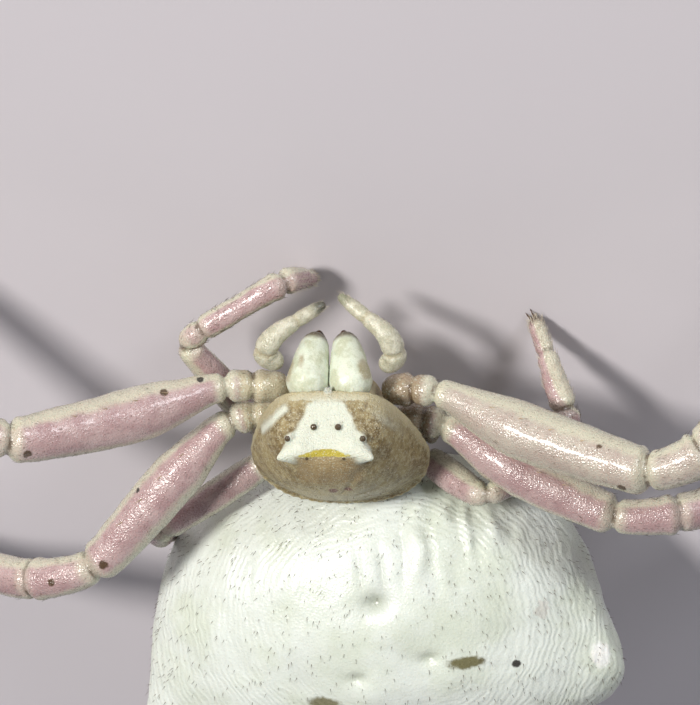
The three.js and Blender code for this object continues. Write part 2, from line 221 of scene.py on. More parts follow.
SIDES = (("left", 1), ("right", -1))
DOME_SPREAD = 0.85
HORN_BLEND = 0.1
MOUND_SHARE = 0.8
MOUND_SINK = 0.32
MOUND_REACH = 3
MOUND_BLEND = 0.05
MOUND_SPLAY = 0.4
CLYPEUS_TOOTH = Vector((0, -4.74, 2.5))
TOOTH_AXIS = Vector((0, -0.7, -0.5)).normalized()
TOOTH_RADIUS = 0.06
TOOTH_REACH = 0.15
TOOTH_BLEND = 0.03
MARGIN_SHARE = (0.97, 1)
MARGIN_WAVES = 11
MARGIN_DEPTH = 0.012
LIP_SHARE = (0.93, 0.985)
LIP_HEIGHT = 0.012
LIP_TEETH = 0.8
LIP_TOOTH_COUNT = 62
GROOVES = ((0.5, 0.10), (1.25, 0.13), (1.95, 0.13))
GROOVE_DEPTH = 0.025
GROOVE_START = (0.2, 0.5)
GROOVE_END = (0.75, 1.25)
FOVEA = Vector((-0.02, -3.0))
FOVEA_HALF = Vector((0.05, 0.22))
FOVEA_DEPTH = 0.03
SHIELD_SWELLS = ((3, 0.012), (9, 0.006))
FACE_HALF_WIDTH = ((2.62, 0.1), (2.72, 0.27), (2.95, 0.4), (3.08, 0.49), (3.2, 0.62), (3.3, 0.76))
FACE_EDGE = (-0.03, 0.05)
FACE_WAVER = 0.05
FACE_LOW_Z = (2.62, 2.72)
FACE_BACK_Y = (-4.27, -4.2)
HORN_WHITE_ASIDE = (0.12, 0.2)
HORN_WHITE_ALONG = (0.28, 0.4)
STREAK_TURN = (math.radians(27), math.radians(54))
STREAK_ENDS = (0.35, 0.6)
STREAK_INNER = (0.94, 0.955)
STREAK_OUTER = (0.972, 0.987)
FAINT_STREAK = 0.35
FAINT_SPREAD = 0.2
RIM_SHARE = (0.975, 1)
SADDLE_MIDDLE_X = -0.03
SADDLE_SIDE = (0.42, 0.56)
SADDLE_FRONT_Y = (-4.24, -4.15)
SADDLE_REAR_Y = (-3.75, -3.5)


def lerp(a, b, share):
    return a + (b - a) * share


def clamp(value, low=0.0, high=1.0):
    return max(low, min(high, value))


def smoothstep(low, high, value):
    share = clamp((value - low) / (high - low))
    return share * share * (3 - 2 * share)


def hump(value, middle, spread):
    """One at the middle, falling to nothing about two spreads away."""
    return math.exp(-((value - middle) / spread) ** 2)


def signed_power(value, exponent):
    return math.copysign(abs(value) ** exponent, value)


def smooth_curve(pairs):
    """A curve without overshoot through a short list of (place, value) pairs."""
    places = [pair[0] for pair in pairs]
    values = [pair[1] for pair in pairs]
    steps = [(values[i + 1] - values[i]) / (places[i + 1] - places[i]) for i in range(len(pairs) - 1)]
    slopes = [steps[0]]
    for before, after in zip(steps, steps[1:]):
        slopes.append(2 * before * after / (before + after) if before * after > 0 else 0)
    slopes.append(steps[-1])

    def read(at):
        if at <= places[0]:
            return values[0]
        if at >= places[-1]:
            return values[-1]
        i = next(k for k in range(len(places) - 1) if at <= places[k + 1])
        span = places[i + 1] - places[i]
        t = (at - places[i]) / span
        eased = lerp(values[i], values[i + 1], t * t * (3 - 2 * t))
        return eased + span * t * (1 - t) * (slopes[i] * (1 - t) - slopes[i + 1] * t)

    return read


def smooth_max(a, b, blend):
    overlap = clamp(0.5 + 0.5 * (a - b) / blend)
    return lerp(b, a, overlap) + blend * overlap * (1 - overlap)


def raise_point(point, origin, axis, height_at, reach, blend):
    """The point, lifted along an axis where a form such as a horn stands over it."""
    offset = point - origin
    along = offset.dot(axis)
    aside = (offset - axis * along).length
    if aside > reach or along < -reach:
        return point
    hold = (1 - smoothstep(0.7 * reach, reach, aside)) * (1 - smoothstep(0.8 * reach, reach, -along))
    lifted = smooth_max(along, height_at(aside), blend)
    return point + axis * max(0, lifted - along) * hold


def on_side(point, hand):
    return Vector((point.x * hand, point.y, point.z))


def horn_height(aside):
    return -HORN_SLOPE * (math.hypot(aside, HORN_BLUNTNESS) - HORN_BLUNTNESS)


def ball_height(radius):
    """Height over its middle of a ball, and the fall of the slope around it."""
    return lambda aside: math.sqrt(radius ** 2 - aside ** 2) if aside < radius else (radius - aside) * 3


spine_height = smooth_curve(SPINE)
face_half_width = smooth_curve(FACE_HALF_WIDTH)


def carapace_edge(angle):
    across = math.cos(angle)
    ahead = math.sin(angle)
    squareness = FRONT_SQUARENESS if ahead > 0 else REAR_SQUARENESS
    reach = (abs(across) ** squareness + abs(ahead) ** squareness) ** (-1 / squareness)
    y = ahead * reach
    forward = max(0, y) ** FRONT_TAPER
    height = lerp(SIDE_EDGE_Z, CLYPEUS_EDGE_Z, forward) if y > 0 else lerp(SIDE_EDGE_Z, REAR_EDGE_Z, y * y)
    length = CARAPACE_FRONT if y > 0 else CARAPACE_REAR
    width = CARAPACE_HALF_WIDTH * (1 - FRONT_NARROWING * forward)
    return Vector((width * across * reach, CARAPACE_MID_Y - y * length, height))


def carapace_point(angle, share, above):
    """A point of the shield, from its direction and its share of the way to the margin."""
    edge = carapace_edge(angle)
    x = edge.x * share
    y = lerp(CARAPACE_MID_Y, edge.y, share)
    if not above:
        return Vector((x, y, lerp(UNDERSIDE_Z, edge.z - MARGIN_THICKNESS, share ** 3)))
    drop = lerp(BROW_DROP, CHEST_DROP, smoothstep(BROW_Y - 0.2, BROW_Y + 0.2, y))
    fullness = lerp(FACE_FULLNESS, CHEST_FULLNESS, smoothstep(FACE_Y, BROW_Y, y))
    rise = max(0, 1 - share ** 4) ** fullness
    return Vector((x, y, lerp(edge.z, spine_height(y) - drop * x * x, rise)))


def shield_relief(point, angle, share):
    """How far the shield stands above its plain form: toothed lip, grooves and soft unevenness."""
    teeth = 1 + LIP_TEETH * math.sin(angle * LIP_TOOTH_COUNT)
    relief = LIP_HEIGHT * smoothstep(*LIP_SHARE, share) * teeth
    if point.y > BROW_Y:
        spread = Vector((point.x, point.y)) - FOVEA
        turn = math.atan2(abs(spread.x), -spread.y)
        reach = smoothstep(*GROOVE_START, spread.length) * (1 - smoothstep(*GROOVE_END, spread.length))
        for groove_turn, groove_width in GROOVES:
            relief -= GROOVE_DEPTH * hump(turn, groove_turn, groove_width) * reach
        relief -= FOVEA_DEPTH * hump(spread.x, 0, FOVEA_HALF.x) * hump(spread.y, 0, FOVEA_HALF.y)
    for pitch, height in SHIELD_SWELLS:
        relief += height * noise.noise(point * pitch)
    return relief


def raise_head(point):
    """The point, lifted where a horn, an eye mound or the middle tooth of the brow's edge stands."""
    for _, hand in SIDES:
        horn_tip, horn_axis = on_side(HORN_TIP, hand), on_side(HORN_AXIS, hand)
        point = raise_point(point, horn_tip, horn_axis, horn_height, HORN_REACH, HORN_BLEND)
        for _, centre, radius, _ in EYES:
            outward = Vector((centre.x * hand * MOUND_SPLAY, -0.5, 0.75)).normalized()
            mound = ball_height(radius * MOUND_SHARE)
            foot = on_side(centre, hand) - outward * radius * MOUND_SINK
            point = raise_point(point, foot, outward, mound, radius * MOUND_REACH, MOUND_BLEND)
    tooth = ball_height(TOOTH_RADIUS)
    return raise_point(point, CLYPEUS_TOOTH, TOOTH_AXIS, tooth, TOOTH_REACH, TOOTH_BLEND)


def face_white(point, above):
    """One on the white of the face and of the horns."""
    face = 0
    if above:
        width = face_half_width(point.z)
        across = abs(point.x) + FACE_WAVER * noise.noise(point * 8)
        face = 1 - smoothstep(width + FACE_EDGE[0], width + FACE_EDGE[1], across)
        face *= smoothstep(*FACE_LOW_Z, point.z) * (1 - smoothstep(*FACE_BACK_Y, point.y))
    for _, hand in SIDES:
        offset = point - on_side(HORN_TIP, hand)
        along = -offset.dot(on_side(HORN_AXIS, hand))
        aside = (offset + on_side(HORN_AXIS, hand) * along).length
        horn = (1 - smoothstep(*HORN_WHITE_ASIDE, aside)) * (1 - smoothstep(*HORN_WHITE_ALONG, along))
        face = max(face, horn)
    return face


def streak_white(angle, share):
    """One on the white streak beside the left front corner, and a faint trace of it on the right."""
    middle = (STREAK_TURN[0] + STREAK_TURN[1]) / 2
    spread = (STREAK_TURN[1] - STREAK_TURN[0]) * 0.55
    streak = smoothstep(*STREAK_ENDS, hump(angle, middle, spread))
    streak += FAINT_STREAK * hump(math.pi - angle, middle, FAINT_SPREAD)
    return streak * smoothstep(*STREAK_INNER, share) * (1 - smoothstep(*STREAK_OUTER, share))


def saddle_tan(point):
    """One on the tan patch behind the crest."""
    side = 1 - smoothstep(*SADDLE_SIDE, abs(point.x - SADDLE_MIDDLE_X))
    return side * smoothstep(*SADDLE_FRONT_Y, point.y) * (1 - smoothstep(*SADDLE_REAR_Y, point.y))


carapace_bm = bmesh.new()
bmesh.ops.create_uvsphere(carapace_bm, u_segments=360, v_segments=160, radius=1)
masks = {name: carapace_bm.verts.layers.float.new(name) for name in ("face", "streak", "rim", "saddle")}
for vert in carapace_bm.verts:
    polar = math.acos(clamp(vert.co.z, -1, 1)) / (math.pi / 2)
    above = polar <= 1 + 1e-6
    share = polar ** DOME_SPREAD if above else 2 - polar
    angle = math.atan2(-vert.co.y, vert.co.x)
    point = carapace_point(angle, share, above)
    if above:
        point.z += shield_relief(point, angle, share)
        point = raise_head(point)
    outward = Vector((point.x, point.y - CARAPACE_MID_Y, 0)).normalized()
    notch = noise.noise(Vector((angle * MARGIN_WAVES, 0.3, 0.7)))
    point += outward * (MARGIN_DEPTH * smoothstep(*MARGIN_SHARE, share) * notch)
    vert.co = point
    vert[masks["face"]] = face_white(point, above)
    vert[masks["streak"]] = streak_white(angle, share) if above else 0
    vert[masks["rim"]] = smoothstep(*RIM_SHARE, share)
    vert[masks["saddle"]] = saddle_tan(point)


def math_node(tree, operation, first, second=0.5):
    node = add_node(tree, "ShaderNodeMath", {"operation": operation})
    feed(tree, node.inputs[0], first)
    feed(tree, node.inputs[1], second)
    return node.outputs[0]


def scaled(tree, value, factor):
    return math_node(tree, "MULTIPLY", value, factor)


def ramp(tree, value, low, high, to_low=0.0, to_high=1.0):
    """A smooth step of a value from low to high."""
    node = add_node(
        tree, "ShaderNodeMapRange", {"interpolation_type": "SMOOTHSTEP"},
        Value=value, From_Min=low, From_Max=high, To_Min=to_low, To_Max=to_high,
    )
    return node.outputs["Result"]


def new_group(name, inputs, outputs):
    """A shader node group with named inputs, given as (name, kind, value), and named outputs."""
    group = bpy.data.node_groups.new(name, "ShaderNodeTree")
    for socket_name, kind, value in inputs:
        socket = group.interface.new_socket(socket_name, in_out="INPUT", socket_type="NodeSocket" + kind)
        socket.default_value = value
    for socket_name, kind in outputs:
        group.interface.new_socket(socket_name, in_out="OUTPUT", socket_type="NodeSocket" + kind)
    return group, group.nodes.new("NodeGroupInput").outputs, group.nodes.new("NodeGroupOutput").inputs


def use_group(tree, group, **inputs):
    return add_node(tree, "ShaderNodeGroup", {"node_tree": group}, **inputs).outputs


# Fine grain of the skin: rounded grains with a little cloudiness, as a height from 0 to 1.
grain_group, given, result = new_group(
    "skin grain",
    (("Place", "Vector", (0, 0, 0)), ("Grain Size", "Float", 0.03)),
    (("Height", "Float"), ("Cloud", "Float")),
)
fineness = math_node(grain_group, "DIVIDE", 1.0, given["Grain Size"])
grains = add_node(grain_group, "ShaderNodeTexVoronoi", {"feature": "SMOOTH_F1"},
                  Vector=given["Place"], Scale=fineness, Smoothness=0.6)
cloud = add_node(grain_group, "ShaderNodeTexNoise", Vector=given["Place"],
                 Scale=math_node(grain_group, "MULTIPLY", fineness, 0.35), Detail=3.0, Roughness=0.6)
rounded = ramp(grain_group, grains.outputs["Distance"], 0.75, 0.0)
feed(grain_group, result["Height"], math_node(
    grain_group, "ADD", math_node(grain_group, "MULTIPLY", rounded, 0.6),
    math_node(grain_group, "MULTIPLY", cloud.outputs["Fac"], 0.4)))
feed(grain_group, result["Cloud"], cloud.outputs["Fac"])

# A painted spot: one inside a ragged round or long mark about a centre, in millimetres.
spot_group, given, result = new_group(
    "painted spot",
    (("Place", "Vector", (0, 0, 0)), ("Centre", "Vector", (0, 0, 0)), ("Squeeze", "Vector", (1, 1, 1)),
     ("Radius", "Float", 0.1), ("Softness", "Float", 0.03), ("Raggedness", "Float", 0.05)),
    (("Mask", "Float"),),
)
from_centre = add_node(spot_group, "ShaderNodeVectorMath", {"operation": "SUBTRACT"})
feed(spot_group, from_centre.inputs[0], given["Place"])
feed(spot_group, from_centre.inputs[1], given["Centre"])
squeezed = add_node(spot_group, "ShaderNodeVectorMath", {"operation": "MULTIPLY"})
feed(spot_group, squeezed.inputs[0], from_centre.outputs[0])
feed(spot_group, squeezed.inputs[1], given["Squeeze"])
reach = add_node(spot_group, "ShaderNodeVectorMath", {"operation": "LENGTH"})
feed(spot_group, reach.inputs[0], squeezed.outputs[0])
ragged = add_node(spot_group, "ShaderNodeTexNoise", Vector=given["Place"], Scale=14.0, Detail=2.0)
wander = math_node(spot_group, "MULTIPLY", math_node(spot_group, "SUBTRACT", ragged.outputs["Fac"], 0.5),
                   given["Raggedness"])
feed(spot_group, result["Mask"], ramp(
    spot_group, math_node(spot_group, "ADD", reach.outputs["Value"], wander),
    math_node(spot_group, "ADD", given["Radius"], given["Softness"]), given["Radius"]))

# Scattered points, such as the roots of small hairs, or painted glints where grains would catch the light.
points_group, given, result = new_group(
    "scattered points",
    (("Place", "Vector", (0, 0, 0)), ("Spacing", "Float", 0.15), ("Point Size", "Float", 0.2)),
    (("Mask", "Float"),),
)
cells = add_node(points_group, "ShaderNodeTexVoronoi", Vector=given["Place"],
                 Scale=math_node(points_group, "DIVIDE", 1.0, given["Spacing"]), Randomness=0.9)
feed(points_group, result["Mask"], ramp(
    points_group, cells.outputs["Distance"], given["Point Size"],
    math_node(points_group, "MULTIPLY", given["Point Size"], 0.5)))


def read_mask(tree, name):
    return add_node(tree, "ShaderNodeAttribute", {"attribute_name": name}).outputs["Fac"]


def spot(tree, place, centre, radius, softness=0.03, raggedness=0.05, squeeze=(1, 1, 1)):
    return use_group(tree, spot_group, Place=place, Centre=tuple(centre), Squeeze=squeeze, Radius=radius,
                     Softness=softness, Raggedness=raggedness)["Mask"]


def scattered(tree, place, spacing, size):
    return use_group(tree, points_group, Place=place, Spacing=spacing, Point_Size=size)["Mask"]


def paint(tree, colour, mask, strength, above):
    """A colour with another laid over it, at some strength, where the mask is one."""
    return mix(tree, scaled(tree, mask, strength), colour, above)


def bump(tree, shader, height, depth):
    """Relief in the shading, its full depth in millimetres."""
    node = add_node(tree, "ShaderNodeBump", Height=height, Distance=depth * MM)
    feed(tree, shader.inputs["Normal"], node.outputs["Normal"])


def new_skin(name, grain_size, scale, detail, roughness=0.6):
    """A skin's material, with its place in millimetres, its grain and its cloudiness from 0 to 1."""
    material, tree, shader = new_material(name)
    place = place_in_mm(tree)
    grain = use_group(tree, grain_group, Place=place, Grain_Size=grain_size)
    cloud = add_node(
        tree, "ShaderNodeTexNoise", Vector=place, Scale=scale, Detail=detail, Roughness=roughness)
    return material, tree, shader, place, grain, cloud.outputs["Fac"]


def finish_skin(tree, shader, colour, grain, gloss, glow):
    """A skin's colour, its roughness in hollows and on grains, and how deep light enters it."""
    feed(tree, shader.inputs["Base Color"], colour)
    feed(tree, shader.inputs["Roughness"], ramp(tree, grain["Height"], 0.2, 0.8, *gloss))
    weight, depth, tint = glow
    shader.inputs["Subsurface Weight"].default_value = weight
    shader.inputs["Subsurface Scale"].default_value = depth * MM
    shader.inputs["Subsurface Radius"].default_value = tint


KHAKI = (0.30, 0.235, 0.105)
KHAKI_DARK = (0.175, 0.125, 0.05)
SADDLE_TAN = (0.32, 0.235, 0.12)
SHIELD_WHITE = (0.64, 0.665, 0.56)
RIM_PALE = (0.52, 0.46, 0.29)
BROW_YELLOW = (0.44, 0.36, 0.035)
SPOT_ROSE = (0.19, 0.095, 0.075)
WARM_GLOW = (1, 0.7, 0.5)
CHEST_MIDDLE = (0, -3.05, 3.15)
CLYPEUS_LINE = (0, -4.7, 2.6)
BROW_BAND = (0, -4.25, 3.4)
REAR_SPOTS = ((-0.04, -3.4, 3.36), (-0.27, -3.4, 3.36))
carapace_material, tree, shader, place, grain, cloud = new_skin("carapace", 0.028, 3.4, 5.0, 0.68)
colour = mix(tree, ramp(tree, cloud, 0.42, 0.6), KHAKI_DARK, KHAKI)
colour = paint(tree, colour, ramp(tree, grain["Cloud"], 0.42, 0.68), 0.55, RIM_PALE)
colour = paint(tree, colour, read_mask(tree, "saddle"), 0.8, SADDLE_TAN)
colour = paint(tree, colour, spot(tree, place, CHEST_MIDDLE, 0.3, 0.45, 0.3, (0.8, 1, 1)), 0.7, RIM_PALE)
clypeus_line = spot(tree, place, CLYPEUS_LINE, 0.06, 0.03, 0.07, (0.1, 0.8, 1))
colour = paint(tree, colour, clypeus_line, 0.75, SHIELD_WHITE)
colour = paint(tree, colour, read_mask(tree, "rim"), 0.9, RIM_PALE)
for centre in REAR_SPOTS:
    colour = mix(tree, spot(tree, place, centre, 0.045, 0.05, 0.06), colour, SPOT_ROSE)
colour = mix(tree, read_mask(tree, "streak"), colour, SHIELD_WHITE)
colour = mix(tree, read_mask(tree, "face"), colour, SHIELD_WHITE)
brow_band = spot(tree, place, BROW_BAND, 0.031, 0.014, 0.03, (0.1, 0.85, 0.22))
colour = mix(tree, brow_band, colour, BROW_YELLOW)
# Scattered pale points: painted glints, as if grains of the shield caught the light.
colour = paint(tree, colour, scattered(tree, place, 0.04, 0.34), 0.4, SHIELD_WHITE)
colour = mix(tree, spot(tree, place, CLYPEUS_TOOTH, 0.05, 0.04, 0.02), colour, SHIELD_WHITE)
finish_skin(tree, shader, colour, grain, (0.5, 0.3), (0.25, 0.14, WARM_GLOW))
bump(tree, shader, grain["Height"], 0.015)
carapace = add_piece("carapace_shield", carapace_bm, carapace_material)
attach(carapace, "root")
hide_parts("carapace")


# Eyes: eight small glassy lenses, four in front and four behind.
# Each sits half sunk in its own low pale mound of the shield.
LENS_DARK = (0.04, 0.028, 0.014)
LENS_AMBER = (0.12, 0.08, 0.04)
eye_material, tree, shader = new_material("eye lens")
grain = use_group(tree, grain_group, Place=place_in_mm(tree), Grain_Size=0.05)
feed(tree, shader.inputs["Base Color"], mix(tree, grain["Cloud"], LENS_DARK, LENS_AMBER))
shader.inputs["Roughness"].default_value = 0.1
shader.inputs["Coat Weight"].default_value = 0.5
shader.inputs["Coat Roughness"].default_value = 0.04
for eye_name, centre, radius, lens_share in EYES:
    for side, hand in SIDES:
        eye_bm = bmesh.new()
        bmesh.ops.create_uvsphere(eye_bm, u_segments=40, v_segments=24, radius=radius * lens_share)
        bmesh.ops.translate(eye_bm, vec=on_side(centre, hand), verts=eye_bm.verts)
        eye = add_piece(f"lens_{eye_name}_{side}", eye_bm, eye_material)
        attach(eye, "root")
        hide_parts(f"eye_{eye_name}_{side}")


# Legs: eight, each one length of thin, see-through skin from the chest to the claws.
# The skin narrows and folds at every joint. Thighs of the first two pairs are the thickest.
LEGS = {
    "leg_1_left": (0.86, (
        (0.72, -4.02, 1.72), (1.74, -4.22, 1.85), (3.13, -4.1, 2.45), (4.95, -4.38, 3.3),
        (5.85, -4.8, 3.2), (7.45, -6.75, 1.5), (8.2, -9.1, 0.05))),
    "leg_1_right": (0.9, (
        (-0.7, -3.98, 1.72), (-1.6, -4.1, 1.85), (-2.88, -3.74, 2.4), (-4.97, -3.66, 3.25),
        (-5.85, -3.95, 3.1), (-7.5, -5.9, 1.45), (-8.3, -8.3, 0.05))),
    "leg_2_left": (0.8, (
        (0.85, -3.44, 1.68), (1.74, -3.46, 1.82), (2.7, -2.62, 2.45), (3.94, -1.4, 3.15),
        (5.0, -0.98, 3.0), (7.1, 0.1, 1.35), (8.9, -1.4, 0.05))),
    "leg_2_right": (0.76, (
        (-0.84, -3.38, 1.68), (-1.66, -3.3, 1.8), (-2.82, -2.8, 2.4), (-4.36, -2.42, 3.0),
        (-5.33, -2.42, 2.9), (-7.4, -1.7, 1.25), (-9.0, -3.4, 0.05))),
    "leg_3_left": (0.5, (
        (0.84, -2.9, 1.58), (1.52, -2.9, 1.3), (1.95, -3.8, 1.32), (2.36, -4.64, 1.35),
        (2.05, -4.86, 1.27), (0.72, -5.52, 0.85), (0.45, -4.75, 0.05))),
    "leg_3_right": (0.5, (
        (-0.84, -2.86, 1.6), (-1.5, -2.82, 1.35), (-2.6, -2.75, 1.3), (-3.4, -2.15, 1.75),
        (-3.6, -2.55, 1.8), (-3.5, -3.34, 1.55), (-2.93, -3.9, 0.05))),
    "leg_4_left": (0.5, (
        (0.62, -2.46, 1.62), (1.3, -2.25, 1.6), (2.1, -1.85, 1.95), (2.95, -1.33, 2.2),
        (3.1, -0.9, 1.9), (3.12, -0.2, 1.05), (3.0, 0.9, 0.05))),
    "leg_4_right": (0.5, (
        (-0.62, -2.42, 1.62), (-1.28, -2.34, 1.62), (-1.8, -2.36, 2.15), (-2.26, -2.46, 2.6),
        (-2.68, -2.36, 2.1), (-2.8, -1.5, 1.1), (-3.1, -0.4, 0.05))),
}
LEG_NODES = ("coxa", "femur", "tibia", "tarsus")
LEG_ROUNDING = 0.9
COXA_WIDTH = 0.5
KNEE_REACH = 0.25
ANKLE_WIDTH = 0.42
FOOT_WIDTH = 0.3
TOE_WIDTH = 0.14
BEND_STEPS = 16
STRAIGHT_STEPS = 6
NECK_HALF = 0.055
METATARSUS_SHARE = 0.6
RING_BEFORE_NECK = 0.14
RING_HALF = 0.07
RING_SWELL = 0.07
FRONT_LOW = Vector((0, -0.7, -0.7))


class Course:
    """The middle line of a limb: straight lengths with a rounded bend at each inner point."""

    def __init__(self, points, rounding):
        corners = [Vector(point) for point in points]
        line = [corners[0]]
        for before, corner, after in zip(corners, corners[1:], corners[2:]):
            reach = min(rounding, (before - corner).length * 0.45, (after - corner).length * 0.45)
            entry = corner + (before - corner).normalized() * reach
            leave = corner + (after - corner).normalized() * reach
            start = line[-1]
            line += [start.lerp(entry, k / STRAIGHT_STEPS) for k in range(1, STRAIGHT_STEPS)]
            line += [
                entry.lerp(corner, k / BEND_STEPS).lerp(corner.lerp(leave, k / BEND_STEPS), k / BEND_STEPS)
                for k in range(BEND_STEPS + 1)
            ]
        start = line[-1]
        line += [start.lerp(corners[-1], k / STRAIGHT_STEPS) for k in range(1, STRAIGHT_STEPS + 1)]
        self.line = line
        self.places = [0.0]
        for a, b in zip(line, line[1:]):
            self.places.append(self.places[-1] + (b - a).length)
        self.length = self.places[-1]
        ahead = [(b - a).normalized() for a, b in zip(line, line[1:])]
        self.along = [ahead[0]] + [(a + b).normalized() for a, b in zip(ahead, ahead[1:])] + [ahead[-1]]
        side = Vector((0, 0, 1))
        self.side = []
        for tangent in self.along:
            side = (side - tangent * side.dot(tangent)).normalized()
            self.side.append(side)
        spans = [(b - a).length for a, b in zip(corners, corners[1:])]
        scale = self.length / sum(spans)
        self.joints = [sum(spans[:k]) * scale for k in range(len(spans) + 1)]

    def at(self, distance):
        """Middle, direction and two sides of the limb at a distance along it."""
        distance = clamp(distance, 0, self.length)
        i = min(int(np.searchsorted(self.places, distance, side="right")) - 1, len(self.places) - 2)
        t = (distance - self.places[i]) / (self.places[i + 1] - self.places[i])
        along = self.along[i].lerp(self.along[i + 1], t).normalized()
        side = self.side[i].lerp(self.side[i + 1], t)
        side = (side - along * side.dot(along)).normalized()
        return self.line[i].lerp(self.line[i + 1], t), along, side, along.cross(side)


def leg_necks(course):
    """Where a leg narrows at its joints, as (distance, share of the thickness lost)."""
    _, root, _, knee, shank, ankle, foot = course.joints
    return (
        (root * 0.58, 0.2), (root - 0.02, 0.34), (knee, 0.24), (shank, 0.16), (ankle, 0.24),
        (lerp(ankle, foot, METATARSUS_SHARE), 0.18),
    )


def leg_thickness(course, width):
    """How thick a leg is along its course: slim at each joint, widest in the thigh."""
    _, root, _, knee, _, ankle, foot = course.joints
    half = width / 2
    coxa = min(COXA_WIDTH, width) / 2
    body = smooth_curve((
        (0, coxa * 0.9),
        (root * 0.5, coxa),
        (root, coxa * 0.92),
        (lerp(root, knee, 0.4), half),
        (knee - KNEE_REACH, half * 0.84),
        (knee, half * 0.7),
        (lerp(knee, ankle, 0.25), half * 0.8),
        (lerp(knee, ankle, 0.6), half * 0.78),
        (ankle, ANKLE_WIDTH / 2),
        (lerp(ankle, foot, METATARSUS_SHARE), FOOT_WIDTH / 2),
        (foot - TOE_WIDTH, FOOT_WIDTH * 0.42),
        (foot, TOE_WIDTH / 2),
    ))
    necks = leg_necks(course)

    def radius_at(distance):
        radius = body(distance)
        for neck, loss in necks:
            ring = RING_SWELL * hump(distance, neck - RING_BEFORE_NECK, RING_HALF)
            radius *= 1 - loss * hump(distance, neck, NECK_HALF) + ring
        return radius

    return radius_at


def tube_point(distance, turn, course, radius_at):
    """A point of a limb's skin, the way out and the way along. Ends are round, and feet lie flat."""
    middle, along, side, lift = course.at(distance)
    radius = radius_at(distance)
    to_end = min(distance, course.length - distance)
    radius *= math.sqrt(clamp(1 - (1 - clamp(to_end / radius)) ** 2))
    outward = side * math.cos(turn) + lift * math.sin(turn)
    point = middle + outward * radius
    point.z = max(point.z, 0)
    return point, outward, along


def limb_mesh(course, radius_at, around, down, ripple):
    """A closed skin about a course, from a ball whose poles are the limb's two ends."""
    bm = bmesh.new()
    bmesh.ops.create_uvsphere(bm, u_segments=around, v_segments=down, radius=1)
    front = bm.verts.layers.float.new("front")
    along_layer = bm.verts.layers.float.new("along")
    for vert in bm.verts:
        distance = math.acos(clamp(vert.co.z, -1, 1)) / math.pi * course.length
        point, outward, along = tube_point(distance, math.atan2(-vert.co.y, vert.co.x), course, radius_at)
        swell = ripple * (noise.noise(point * 3.1) + 0.5 * noise.noise(point * 8.3))
        vert.co = point + outward * swell * min(1, distance * 4, (course.length - distance) * 4)
        vert.co.z = max(vert.co.z, 0)
        across = FRONT_LOW - along * FRONT_LOW.dot(along)
        vert[front] = outward.dot(across.normalized()) if across.length > 0.2 else 0
        vert[along_layer] = distance
    return bm


ROSE = (0.49, 0.355, 0.345)
ROSE_DEEP = (0.39, 0.255, 0.255)
CREAM_LEG = "leg_1_right"
LEG_CREAM = (0.50, 0.44, 0.37)
LEG_CREAM_DEEP = (0.43, 0.355, 0.305)
PALE_GREEN = (0.58, 0.565, 0.43)
JOINT_AMBER = (0.44, 0.375, 0.225)
# Hip colours by side: tan, with painted light and shade, the left pair paler as if lit and the right pair
# darker as if in shade.
COXA_LIT_AND_SHADED_COLOURS = {"left": (0.52, 0.465, 0.32), "right": (0.34, 0.265, 0.175)}
TOE_BROWN = (0.12, 0.08, 0.05)
MARK_BROWN = (0.07, 0.035, 0.008)
MARK_BLACK = (0.02, 0.016, 0.012)
ROSE_GLOW = (1, 0.6, 0.55)
LEG_SPOTS = {
    "leg_1_left": (((2.07, -4.45, 1.98), 0.045, MARK_BLACK), ((2.6, -4.5, 2.32), 0.05, MARK_BROWN),
                   ((4.63, -4.36, 3.47), 0.07, MARK_BROWN), ((3.1, -4.48, 2.5), 0.03, MARK_BROWN)),
    "leg_2_left": (((3.74, -1.7, 3.3), 0.075, MARK_BROWN), ((3.15, -2.68, 2.66), 0.03, MARK_BLACK),
                   ((4.62, -1.32, 3.35), 0.05, MARK_BROWN)),
    "leg_1_right": (((-4.55, -3.6, 3.45), 0.06, MARK_BROWN), ((-4.2, -4.05, 3.05), 0.035, MARK_BROWN)),
    "leg_2_right": (((-4.2, -2.5, 3.3), 0.06, MARK_BROWN),),
}


def near(tree, along, joint, far, close):
    """One close to a joint of a limb, and nothing far from it."""
    away = math_node(tree, "ABSOLUTE", math_node(tree, "SUBTRACT", along, joint))
    return ramp(tree, away, far, close)


